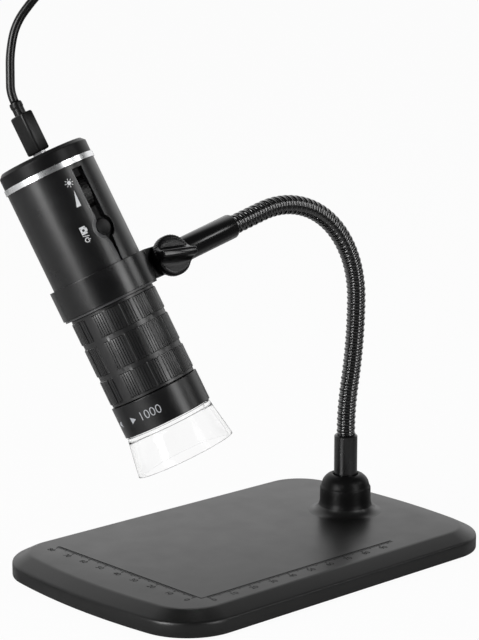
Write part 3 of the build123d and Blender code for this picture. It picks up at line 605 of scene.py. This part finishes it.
def wind_distance(winds):
    """Distance from the foot ferrule after a number of turns."""
    opening = min(max(winds - OPEN_FROM, 0), OPEN_OVER)
    opened = max(winds - OPEN_FROM - OPEN_OVER, 0)
    return WIND_PITCH * winds + (OPEN_PITCH - WIND_PITCH) * (opening ** 2 / (2 * OPEN_OVER) + opened)


def wound_neck():
    """Rings that climb as the wires do, so that each ends where the ring one turn further begins."""
    winds = 0
    while wind_distance(winds) < neck_run:
        winds += 1
    stations = [(wind + share, radius) for wind in range(-1, winds + 2) for share, radius in wire_profile]
    points = []
    for station, radius in stations:
        for k in range(NECK_SIDES):
            share = k / NECK_SIDES
            distance = wind_distance(station + share)
            inside = min(max(distance, 0.0), neck_run)
            centre, out = neck_place(inside)
            reach = radius if distance == inside else min(radius, NECK_END_RADIUS)
            turn = 2 * pi * share
            points.append(centre + (out * cos(turn) + Vector((0, 1, 0)) * sin(turn)) * reach * MM)
    faces = ring_faces(len(stations), NECK_SIDES, closed=False)
    per_wind = len(wire_profile)
    for i in range(len(stations) - 1 - per_wind):
        a = (i + 1) * NECK_SIDES - 1
        b = (i + per_wind) * NECK_SIDES
        faces.append((a, b, b + NECK_SIDES, a + NECK_SIDES))

    def weld(bm):
        bmesh.ops.remove_doubles(bm, verts=bm.verts, dist=WELD)

    return mesh_piece("wound_neck", points, faces, finish=weld)


neck = wound_neck()
dressed(neck, neck_metal)
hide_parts("gooseneck")
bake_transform(neck)


# The ribbed ring: three rows of raised patches, the middle row staggered by half a patch

GRIP_BORE, GRIP_LIP, GRIP_ROOT, GRIP_LIFT = 15.2, 16.1, 16.35, 0.4
GRIP_TOP, GRIP_FOOT = -5.9, -40.9

# Top and foot of each row of patches, and 1 where the row is staggered
GRIP_ROWS = [(-7.0, -15.7, 0), (-17.5, -28.5, 1), (-30.3, -39.8, 0)]

# One patch with the gap beside it: the share of the lift at each column
GAP_LIFT_SHARE = 0.12
RIB_LIFT_SHARES = (0.35, 1.0, 1.0, 1.0, 1.0, 1.0)
GAP_COLUMNS, PATCH_RIBS, GRIP_PATCHES = 6, 5, 18
patch_lift = [GAP_LIFT_SHARE] * GAP_COLUMNS + list(RIB_LIFT_SHARES) * PATCH_RIBS
GRIP_COLUMNS = GRIP_PATCHES * len(patch_lift)

# How far inside a patch's end, and the share of the lift there
PATCH_EDGE = [(0.0, 0.0), (0.08, 0.55), (0.25, 0.92), (0.5, 1.0)]

# The strip without patches, in degrees round the ring
PLAIN_STRIP = (-169.5, -156.5)


def grip_stations():
    """Height, lift or radius, and stagger of each ring; a stagger of None marks a plain ring's radius."""
    stations = [
        (GRIP_TOP, GRIP_BORE, None), (GRIP_TOP, GRIP_LIP, None), (GRIP_TOP - 0.2, GRIP_ROOT, None),
        (GRIP_TOP - 1.0, GRIP_ROOT, None),
    ]
    for top, foot, stagger in GRIP_ROWS:
        stations += [(top - into, share, stagger) for into, share in PATCH_EDGE]
        stations += [(foot + into, share, stagger) for into, share in reversed(PATCH_EDGE)]
    return stations + [
        (GRIP_FOOT + 0.9, GRIP_ROOT, None), (GRIP_FOOT + 0.2, GRIP_ROOT, None), (GRIP_FOOT, GRIP_LIP, None),
        (GRIP_FOOT, GRIP_BORE, None),
    ]


def grip_ring():
    stations = grip_stations()
    half = len(patch_lift) // 2
    points = []
    for height, value, stagger in stations:
        for k in range(GRIP_COLUMNS):
            turn = 2 * pi * k / GRIP_COLUMNS
            if stagger is None:
                radius = value
            elif PLAIN_STRIP[0] < degrees(turn) - 360 < PLAIN_STRIP[1]:
                radius = GRIP_ROOT
            else:
                radius = GRIP_ROOT + GRIP_LIFT * value * patch_lift[(k + stagger * half) % len(patch_lift)]
            points.append(vector(radius * cos(turn), radius * sin(turn), height))
    return creased(mesh_piece("grip_ring", points, joined(len(stations), GRIP_COLUMNS), SCOPE), 32)


grip = grip_ring()
dressed(grip, grip_skin)
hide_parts("focus_ring")
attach(grip, "focus_ring")


# The clamp knob: a finely ribbed disc with a bar across it, along the clamp's own -Y

KNOB_BACK = -6.15
KNOB_FACE = -9.75
KNOB_TURN = radians(15)
KNOB_TEETH, TOOTH_DEPTH = 44, 0.22
TOOTH_SHARES = [0.0, 0.7, 1.0, 0.7]
RIB_REACH, RIB_RIM, RIB_FOOT, RIB_DEPTH = 7.0, 7.2, 1.4, 0.16
knob_place = SCOPE @ Matrix.Translation(vector(CLAMP_REACH, 0, 0)) @ Matrix.Rotation(KNOB_TURN, 4, "Y")


def knob_disc():
    """The disc, as rows of height, radius and the share of the teeth's depth that shows there."""
    sides = KNOB_TEETH * len(TOOTH_SHARES)
    rows = [
        (KNOB_BACK, 4.4, 0), (KNOB_BACK, 7.3, 0), (KNOB_BACK - 0.3, 7.75, 0.6), (KNOB_BACK - 0.6, 7.8, 1),
        (KNOB_FACE + 0.8, 7.8, 1), (KNOB_FACE + 0.35, 7.55, 1), (KNOB_FACE + 0.1, 7.15, 0.8),
        (KNOB_FACE, 6.6, 0.5), (KNOB_FACE + 0.15, 5.0, 0.15), (KNOB_FACE + 0.2, 2.0, 0),
        (KNOB_FACE + 0.2, 0.4, 0),
    ]
    points = []
    for height, radius, share in rows:
        for k in range(sides):
            turn = 2 * pi * k / sides
            lifted = radius + (TOOTH_SHARES[k % len(TOOTH_SHARES)] - 1) * TOOTH_DEPTH * share
            points.append(vector(lifted * cos(turn), height, lifted * sin(turn)))
    return creased(mesh_piece("knob_disc", points, capped(len(rows), sides), knob_place), 40)


def knob_bar():
    """The bar, as rounded rectangles of half length, half width, corner and height."""
    sections = [
        (7.6, 3.6, 1.6, KNOB_FACE + 0.4), (7.75, 2.7, 1.2, KNOB_FACE - 0.5),
        (7.8, 2.0, 0.9, KNOB_FACE - 1.6), (7.8, 1.6, 0.75, KNOB_FACE - 2.8),
        (7.75, 1.45, 0.7, KNOB_FACE - 3.8), (7.5, 1.2, 0.6, KNOB_FACE - 4.3),
        (7.0, 0.8, 0.4, KNOB_FACE - 4.5),
    ]
    per_corner = 5
    points = []
    for half_x, half_z, corner, height in sections:
        points += [vector(x, height, z) for x, z in rounded_outline(half_x, half_z, corner, per_corner)]
    return creased(mesh_piece("knob_bar", points, capped(len(sections), 4 * per_corner), knob_place), 40)


def knob_ribs(name, way):
    """Fine ribs square to the bar, from its flank out to the rim, on one side of it."""
    columns, rows, per_rib = 96, 7, 6
    points = []
    for i in range(columns + 1):
        x = -RIB_REACH + 2 * RIB_REACH * i / columns
        rim = max(sqrt(RIB_RIM ** 2 - x ** 2), RIB_FOOT + 0.1)
        for j in range(rows + 1):
            z = RIB_FOOT + (rim - RIB_FOOT) * j / rows
            rib = RIB_DEPTH * (0.5 + 0.5 * cos(2 * pi * i / per_rib)) * (0 if j in (0, rows) else 1)
            dip = 0.2 - 0.3 * sin(pi * j / rows)
            points.append(vector(x, KNOB_FACE + dip - rib, way * z))
    return creased(mesh_piece(name, points, ring_faces(columns + 1, rows + 1, closed=False), knob_place), 60)


for piece in (knob_disc(), knob_bar(), knob_ribs("knob_ribs_low", -1), knob_ribs("knob_ribs_high", 1)):
    dressed(piece, gloss)
    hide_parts("clamp_knob")
    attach(piece, "knob")


# The base: a rounded table with a soft bevel, and the boss on it

BASE_HALF_X, BASE_HALF_Y = (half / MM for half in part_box("base_shell")[1][:2])
BASE_BULGE, BASE_CORNER = 6.2, 22.5
END_STEPS, CORNER_STEPS, SIDE_STEPS = 12, 20, 12
BOSS_FLARE_REACH, BOSS_FLARE = 15.4, 4.8
BOSS_FOOT, BOSS_BORE = 9.6, 5.0


def base_edge():
    """Points and outward directions round the base's outline, seen from above."""
    reach = (BASE_HALF_Y ** 2 + BASE_BULGE ** 2) / (2 * BASE_BULGE)
    middle = BASE_HALF_X - reach
    corner_y = BASE_HALF_Y - BASE_CORNER
    corner_x = middle + sqrt((reach - BASE_CORNER) ** 2 - corner_y ** 2)
    end_turn = atan2(corner_y, corner_x - middle)
    quarter = []
    for k in range(END_STEPS + 1):
        turn = end_turn * k / END_STEPS
        quarter.append(((middle + reach * cos(turn), reach * sin(turn)), turn))
    for k in range(1, CORNER_STEPS + 1):
        turn = end_turn + (pi / 2 - end_turn) * k / CORNER_STEPS
        quarter.append(((corner_x + BASE_CORNER * cos(turn), corner_y + BASE_CORNER * sin(turn)), turn))
    side = [((corner_x * (1 - 2 * k / SIDE_STEPS), BASE_HALF_Y), pi / 2) for k in range(1, SIDE_STEPS)]
    left_back = [((-x, y), pi - turn) for (x, y), turn in reversed(quarter)]
    back = quarter + side + left_back
    front = [((x, -y), -turn) for (x, y), turn in reversed(back)][1:-1]
    return [((x, y), (cos(turn), sin(turn))) for (x, y), turn in back + front]


def base_body():
    """The table, as rows of inset from the outline and height: foot, wall, rounded lip, bevel and top."""
    rows = [
        (2.4, 2.4), (2.4, 1.0), (0.4, 1.0), (0.12, 1.1), (0.0, 1.4), (0.0, 5.6), (0.05, 6.1), (0.2, 6.5),
        (0.5, 6.8), (0.95, 7.05), (5.9, 9.62), (6.3, 9.79), (6.8, 9.92), (7.4, BASE_TOP),
    ]
    edge = base_edge()
    points = [
        vector(x - out_x * inset, y - out_y * inset, height)
        for inset, height in rows for (x, y), (out_x, out_y) in edge
    ]
    sides = len(edge)
    top = tuple(range(len(points) - sides, len(points)))
    return creased(mesh_piece("base_body", points, ring_faces(len(rows), sides) + [top]), 35)


def post_boss():
    """The boss: a hollow curve at its foot, a straight wall and a sloped crown with a soft edge."""
    flare = arc(BOSS_FLARE_REACH, BASE_TOP + BOSS_FLARE, BOSS_FLARE, 270, 180)
    wall = [(10.56, 17.4), (10.5, 20.0), (10.43, 20.3), (10.26, 20.55), (10.05, 20.9)]
    shoulder = [(9.85, 21.6), (9.5, 22.8), (9.0, 23.7), (8.3, 24.5), (7.5, 25.2), (6.6, 25.65)]
    crown = [(6.0, 25.8), (5.5, 25.75), (5.15, 25.4), (BOSS_BORE, 24.4)]
    profile = [(BOSS_FLARE_REACH, BOSS_FOOT)] + flare + wall + shoulder + crown + [(BOSS_BORE, BOSS_FOOT)]
    return creased(turned("post_boss", profile, POST, 72), 40)


for piece, skin in ((base_body(), base_skin), (post_boss(), boss_skin)):
    dressed(piece, skin)
    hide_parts("base_shell")
    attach(piece, "base")


# Prints: thin skins of ink laid on the surfaces

LETTER_STEPS = 4
LETTER_THINNING_SHARE = 0.012
LONGEST_EDGE = 0.9 * MM
SPLIT_ROUNDS = 4


def letters(text, size):
    """The outline of a word or number as flat points and faces, centred on its own middle."""
    curve = bpy.data.curves.new("letters", "FONT")
    curve.body = text
    curve.size = size * MM
    curve.align_x = "CENTER"
    curve.align_y = "CENTER"
    curve.resolution_u = LETTER_STEPS
    curve.offset = -LETTER_THINNING_SHARE * size * MM
    holder = linked(bpy.data.objects.new("letters", curve))
    bpy.context.view_layer.update()
    flat = bpy.data.meshes.new_from_object(holder)
    points = [(v.co.x, v.co.y) for v in flat.vertices]
    faces = [tuple(f.vertices) for f in flat.polygons]
    bpy.data.objects.remove(holder)
    bpy.data.meshes.remove(flat)
    return points, faces


class Ink:
    """Flat shapes, in millimetres, gathered into one print."""

    def __init__(self):
        self.points = []
        self.faces = []

    def add(self, points, faces):
        start = len(self.points)
        self.points += points
        self.faces += [tuple(start + i for i in face) for face in faces]

    def shape(self, outline):
        self.add(list(outline), [tuple(range(len(outline)))])

    def bar(self, x0, y0, x1, y1, width):
        """A straight line of a width from one place to another."""
        along = Vector((x1 - x0, y1 - y0)).normalized() * width / 2
        side = Vector((-along.y, along.x))
        corners = []
        for x, y, way in ((x0, y0, -1), (x1, y1, 1)):
            corners.append((x + side.x * way, y + side.y * way))
            corners.append((x - side.x * way, y - side.y * way))
        self.shape(corners)

    def ring(self, x, y, outer, inner, start=0, end=360, steps=28):
        """A ring, a disc or a part of one."""
        rows = []
        for far, near in zip(arc(x, y, outer, start, end, steps), arc(x, y, inner, start, end, steps)):
            rows += [far, near]
        self.add(rows, [(2 * k, 2 * k + 2, 2 * k + 3, 2 * k + 1) for k in range(steps)])

    def word(self, text, size, x, y, turn=0.0):
        points, faces = letters(text, size)
        cosine, sine = cos(radians(turn)), sin(radians(turn))
        placed = [
            (x + (along * cosine - up * sine) / MM, y + (along * sine + up * cosine) / MM)
            for along, up in points
        ]
        self.add(placed, faces)

    def piece(self, name, lay, material, slot, body):
        """Lays the print on a surface: lay gives a place in metres for each flat point."""
        bm = bmesh.new()
        corners = [bm.verts.new(vector(x, y, 0)) for x, y in self.points]
        for face in self.faces:
            try:
                bm.faces.new([corners[i] for i in face])
            except ValueError:
                pass
        bmesh.ops.triangulate(bm, faces=bm.faces)
        for _ in range(SPLIT_ROUNDS):
            long_edges = [edge for edge in bm.edges if edge.calc_length() > LONGEST_EDGE]
            if not long_edges:
                break
            bmesh.ops.subdivide_edges(bm, edges=long_edges, cuts=1)
            bmesh.ops.triangulate(bm, faces=bm.faces)
        for v in bm.verts:
            v.co = lay(v.co.x / MM, v.co.y / MM)
        mesh = bpy.data.meshes.new(name)
        bm.to_mesh(mesh)
        bm.free()
        obj = linked(bpy.data.objects.new(name, mesh))
        dressed(obj, material)
        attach(obj, body)
        return obj


def on_table(x, y):
    return vector(x, y, BASE_TOP + INK_LIFT)


def on_tube(radius, turn, station):
    """Lays a print on the microscope: x runs round it from a turn in degrees, y along it from a station."""
    def lay(x, y):
        angle = radians(turn) + x / radius
        return SCOPE @ vector(radius * cos(angle), radius * sin(angle), station + y)
    return lay


SCALE_CORNER = (-63.1, -41.8)
LONG_LEG, SHORT_LEG, SCALE_START = 100.9, 84.0, 2.5
SCALE_LINE, TICK_LINE = 0.35, 0.34
CORNER_LAP = 0.17
TEN_TICK, FIVE_TICK, ONE_TICK = 2.6, 2.1, 1.5
NUMBER_SIZE = 3.5


def table_scale():
    """Two scales in millimetres that meet at a corner, numbered every centimetre."""
    left, low = SCALE_CORNER
    ink = Ink()
    ink.bar(left, low, left + LONG_LEG, low, SCALE_LINE)
    ink.bar(left, low - CORNER_LAP, left, low + SHORT_LEG, SCALE_LINE)
    for leg, number_out, number_turn, place in (
        (LONG_LEG, 4.3, 0, lambda spot, out: (left + spot, low - out)),
        (SHORT_LEG, 4.9, -90, lambda spot, out: (left - out, low + spot)),
    ):
        for step in range(int(leg - SCALE_START) + 1):
            spot = SCALE_START + step
            tick = TEN_TICK if step % 10 == 0 else FIVE_TICK if step % 5 == 0 else ONE_TICK
            ink.bar(*place(spot, 0), *place(spot, tick), TICK_LINE)
            if step % 10 == 0:
                ink.word(str(step), NUMBER_SIZE, *place(spot, number_out), number_turn)
    return ink.piece("table_scale", on_table, print_black, "satin_black", "base")


SUN_RAYS, SUN_RADIUS, RAY_FROM, RAY_TO = 8, 0.75, 1.0, 1.65
SIGN_LINE = 0.26
BAND_RADIUS, BAND_NUMBER_SIZE = 17.05, 4.7

# Where each print lies: degrees round the tube, and height along it
LAMP_MARKS_AT = (-108.6, 0)
BUTTON_MARKS_AT = (-116.9, 20.7)
BAND_MARKS_AT = (-141.0, -47.3)


def lamp_marks():
    """A small sun and a wedge: more light this way."""
    ink = Ink()
    sun_x, sun_y = 0.35, 39.4
    ink.ring(sun_x, sun_y, SUN_RADIUS, 0.0)
    for k in range(SUN_RAYS):
        way = Vector((cos(2 * pi * k / SUN_RAYS), sin(2 * pi * k / SUN_RAYS)))
        near, far = way * RAY_FROM, way * RAY_TO
        ink.bar(sun_x + near.x, sun_y + near.y, sun_x + far.x, sun_y + far.y, SIGN_LINE)
    ink.shape([(0.82, 36.3), (-1.02, 30.3), (0.77, 30.3)])
    lay = on_tube(BODY_RADIUS + INK_LIFT, *LAMP_MARKS_AT)
    return ink.piece("lamp_marks", lay, print_white, "satin_black", "microscope")


def button_marks():
    """A picture-taking mark and a switch mark, read along the body."""
    ink = Ink()
    ink.ring(-1.2, 0, 0.95, 0.5)
    for x0, y0, x1, y1 in (
        (-2.65, -1.1, -2.1, 1.1), (-0.3, -1.1, 0.25, 1.1), (-2.1, 0.85, -0.3, 1.1), (-2.1, -1.1, -0.3, -0.85),
    ):
        ink.shape([(x0, y0), (x1, y0), (x1, y1), (x0, y1)])
    ink.shape([(-1.9, 1.1), (-0.5, 1.1), (-0.7, 1.5), (-1.7, 1.5)])
    ink.bar(0.65, -1.2, 1.3, 1.2, SIGN_LINE)
    ink.ring(2.45, -0.1, 0.92, 0.62, 120, 420)
    ink.bar(2.45, 0.15, 2.45, 1.2, 0.28)
    lay = on_tube(BODY_RADIUS + INK_LIFT, *BUTTON_MARKS_AT)
    return ink.piece("button_marks", lambda x, y: lay(y, -x), print_white, "satin_black", "microscope")


def band_marks():
    """The plain number on the band and the pointers beside it."""
    ink = Ink()
    ink.word("1000", BAND_NUMBER_SIZE, 0, 0)
    ink.shape([(-8.6, 1.3), (-8.6, -1.3), (-6.2, 0)])
    ink.shape([(-15.2, 1.3), (-15.2, -1.3), (-17.8, 0)])
    lay = on_tube(BAND_RADIUS + INK_LIFT, *BAND_MARKS_AT)
    return ink.piece("band_marks", lay, print_grey, "satin_black", "microscope")


table_scale()
lamp_marks()
button_marks()
band_marks()


# The channel's left edge: a slope that catches the light, with a painted highlight in its lighter grey colour

CHANNEL_LEFT = -2.4
POCKET_HEIGHT, POCKET_RADIUS = 20.2, 4.4
EDGE_DEPTH, EDGE_SLOPE = 1.35, 0.32
POCKET_EDGE_WIDTH = 1.15

# The stretch of the pocket's rim that the strip follows, in degrees
POCKET_FROM, POCKET_TO, POCKET_STEPS = 123, 252, 12


def channel_edge():
    """A strip that slopes from the tube's skin into the channel, and round the button's pocket."""
    across = Vector((1, 0))
    stations = []
    for height, width in ((43.4, 0.5), (34.0, 0.55), (26.6, 0.6), (25.2, 0.9)):
        stations.append((Vector((CHANNEL_LEFT, height)), across, width))
    for k in range(POCKET_STEPS + 1):
        turn = radians(POCKET_FROM + (POCKET_TO - POCKET_FROM) * k / POCKET_STEPS)
        outward = Vector((cos(turn), sin(turn)))
        spot = Vector((0, POCKET_HEIGHT)) + outward * POCKET_RADIUS
        stations.append((spot, -outward, POCKET_EDGE_WIDTH))
    for x, height, width in ((-1.28, 13.5, 1.5), (-1.0, 9.0, 1.5), (-0.72, 4.8, 1.3), (-0.6, 3.1, 1.15)):
        stations.append((Vector((x, height)), across, width))
    points = []
    for spot, inward, width in stations:
        section = (
            (-0.3, -0.03), (0.05, 0.02), (1.0, EDGE_SLOPE * width), (1.0, EDGE_DEPTH), (0.05, EDGE_DEPTH),
        )
        for share, depth in section:
            at = spot + inward * width * share
            points.append(vector(at.x, -sqrt((BODY_RADIUS - depth) ** 2 - at.x ** 2), at.y))
    return creased(mesh_piece("channel_edge", points, capped(len(stations), len(section)), SCOPE), 50)


edge_piece = channel_edge()
# The strip wears the painted highlight colour
dressed(edge_piece, painted_highlight_edge)
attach(edge_piece, "microscope")


# The clear nose


def clear_nose():
    """The clear nose with its rounded mouth and a thin shoulder inside."""
    socket = [(13.5, -54.9), (13.5, -49.6), (14.83, -49.6), (14.83, -53.4), (16.55, -53.4), (16.7, -53.55)]
    flare = [(16.7, -54.0), (17.15, -56.6), (17.75, -60.0), (18.35, -63.6), (18.95, -67.2)]
    mouth = [(19.05, -67.8), (19.0, -68.1), (18.75, -68.2), (18.2, -68.2), (17.95, -68.1), (17.8, -67.7)]
    inside = [(17.3, -64.6), (16.6, -60.2), (15.95, -56.6), (15.7, -55.5), (15.2, -54.9)]
    return creased(turned("clear_nose", socket + flare + mouth + inside, SCOPE, 128), 40)


nose = clear_nose()
dressed(nose, clear)
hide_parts("clear_cap")
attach(nose, "microscope")


# The charging plug's body, with rounded edges

PLUG_HALF_X, PLUG_HALF_Y, PLUG_CORNER = 2.8, 4.3, 1.25
CORNER_LOSS_SHARE = 0.6


def plug_body():
    """The body, as rows of inset from its outline and height."""
    rows = [(0.7, 54.9), (0.25, 55.0), (0.0, 55.4), (0.0, 69.4), (0.12, 69.85), (0.45, 70.1), (1.0, 70.15)]
    per_corner = 6
    points = []
    for inset, height in rows:
        corner = PLUG_CORNER - CORNER_LOSS_SHARE * inset
        outline = rounded_outline(PLUG_HALF_X - inset, PLUG_HALF_Y - inset, corner, per_corner)
        points += [vector(x, y, height) for x, y in outline]
    return creased(mesh_piece("plug_body", points, capped(len(rows), 4 * per_corner), SCOPE), 50)


body_piece = plug_body()
dressed(body_piece, overmould_skin)
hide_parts("plug_overmould")
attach(body_piece, "microscope")


# The arm's ferrule and its flat tongue

SLEEVE_START, SLEEVE_END = 33.8, 64.9
SLEEVE_RADIUS, SLEEVE_SHOULDER, SLEEVE_CORE = 4.8, 1.8, 2.6
TONGUE_HALF, TONGUE_RADIUS, TONGUE_END, BOLT_HOLE = 2.2, 4.6, 35.0, 2.05


def arm_sleeve():
    """A turned sleeve along the arm with a rounded shoulder towards the clamp and a bore for the neck."""
    shoulder = arc(
        SLEEVE_RADIUS - SLEEVE_SHOULDER, SLEEVE_START + SLEEVE_SHOULDER, SLEEVE_SHOULDER, -90, 0, 6,
    )
    mouth = [
        (SLEEVE_RADIUS, SLEEVE_END - 0.5), (4.66, SLEEVE_END - 0.15), (4.4, SLEEVE_END), (3.95, SLEEVE_END),
        (3.9, SLEEVE_END - 1.2),
    ]
    profile = [(SLEEVE_CORE, SLEEVE_START)] + shoulder + mouth + [(SLEEVE_CORE, SLEEVE_END - 1.2)]
    along = Matrix.Rotation(radians(90), 4, "Y")
    return creased(turned("arm_sleeve", profile, SCOPE @ along, 64), 40)


def arm_tongue():
    """The flattened end that the clamp bolt passes through."""
    outline = arc(CLAMP_REACH, 0, TONGUE_RADIUS, 90, 270, 18)
    outline += [(TONGUE_END, -TONGUE_RADIUS), (TONGUE_END, TONGUE_RADIUS)]
    hole = arc(CLAMP_REACH, 0, BOLT_HOLE, 0, 345, 23)
    points = [vector(x, side, z) for side in (-TONGUE_HALF, TONGUE_HALF) for x, z in outline + hole]
    outer, total = len(outline), len(outline) + len(hole)
    loops = [list(range(outer)), list(range(outer, total))]
    faces = []
    for loop in loops:
        for a, b in zip(loop, loop[1:] + loop[:1]):
            faces.append((a, b, b + total, a + total))

    def fill_sides(bm):
        """Closes each side between the outline and the hole."""
        bm.verts.ensure_lookup_table()
        for low in (0, total):
            edges = []
            for loop in loops:
                for a, b in zip(loop, loop[1:] + loop[:1]):
                    edges.append(bm.edges.get((bm.verts[low + a], bm.verts[low + b])))
            bmesh.ops.triangle_fill(bm, use_beauty=True, edges=edges)

    return creased(mesh_piece("arm_tongue", points, faces, SCOPE, finish=fill_sides), 40)


for piece in (arm_sleeve(), arm_tongue()):
    dressed(piece, arm_skin)
    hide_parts("arm_ferrule")
    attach(piece, "arm")


# Floor, backdrop and light

WHITE = (1, 1, 1, 1)
FLOOR_HALF, FLOOR_DROP = 8.0, 0.0002
FLOOR_PALE, FLOOR_DIM, FLOOR_WHITE_SHARE = 0.6, 0.12, 0.96
FLOOR_FADE = (0.04, 0.3)
FRONT_RIGHT = (0.5, -0.866, 0.0)
ROOM_BRIGHT_WAY = Vector((0.45, 0.82, -0.4)).normalized()
ROOM_FADE = (-0.08, 0.38)
ROOM_LEVELS = (0.06, 1.0)


def floor_paper():
    """Pale paper, dimmer towards the room's front right, with the object's soft shadow kept."""
    material = bpy.data.materials.new("paper")
    tree = empty_tree(material)
    paper = tree.nodes.new("ShaderNodeBsdfDiffuse")
    spot = tree.nodes.new("ShaderNodeNewGeometry")
    ahead = vector_step(tree, "DOT_PRODUCT", spot.outputs["Position"], FRONT_RIGHT)
    tone = ranged(tree, ahead, FLOOR_FADE, (FLOOR_PALE, FLOOR_DIM), "SMOOTHSTEP")
    tree.links.new(tone, paper.inputs["Color"])
    glow = tree.nodes.new("ShaderNodeEmission")
    glow.inputs["Color"].default_value = WHITE
    share = tree.nodes.new("ShaderNodeMath")
    share.operation = "MULTIPLY"
    share.inputs[1].default_value = FLOOR_WHITE_SHARE
    tree.links.new(seen_directly(tree), share.inputs[0])
    mixed_output(tree, "ShaderNodeOutputMaterial", share.outputs[0], paper, glow)
    return material


def floor_plane():
    half, height = FLOOR_HALF, -FLOOR_DROP
    points = [(-half, -half, height), (half, -half, height), (half, half, height), (-half, half, height)]
    floor = mesh_piece("floor", points, [(0, 1, 2, 3)], smooth=False)
    floor.data.materials.append(floor_paper())
    return floor


floor_plane()


def studio_world():
    """White where the camera looks, and for the object a room that is bright behind and dark in front."""
    world = bpy.data.worlds.new("studio")
    tree = empty_tree(world)
    where = tree.nodes.new("ShaderNodeTexCoord")
    room = tree.nodes.new("ShaderNodeBackground")
    room.inputs["Color"].default_value = WHITE
    towards = vector_step(tree, "DOT_PRODUCT", where.outputs["Generated"], ROOM_BRIGHT_WAY)
    tree.links.new(ranged(tree, towards, ROOM_FADE, ROOM_LEVELS, "SMOOTHSTEP"), room.inputs["Strength"])
    paper = tree.nodes.new("ShaderNodeBackground")
    paper.inputs["Color"].default_value = WHITE
    mixed_output(tree, "ShaderNodeOutputWorld", seen_directly(tree), room, paper)
    return world


bpy.context.scene.world = studio_world()


def softbox(name, place, target, size, power):
    """A rectangular lamp in metres and watts."""
    light = bpy.data.lights.new(name, "AREA")
    light.shape = "RECTANGLE"
    light.size, light.size_y = size
    light.energy = power
    return aimed(linked(bpy.data.objects.new(name, light)), Vector(place), Vector(target))


softbox("left_box", (-1.46, -0.05, 0.5), (-0.05, 0, 0.12), (0.62, 1.3), 28)
softbox("right_box", (0.24, -1.43, 0.5), (-0.05, 0, 0.12), (0.46, 1.3), 10)
softbox("top_box", (0.93, -0.98, 0.82), (-0.01, 0, 0.16), (0.42, 0.26), 1.6)

bpy.context.scene.view_settings.view_transform = "Standard"

bpy.context.view_layer.update()
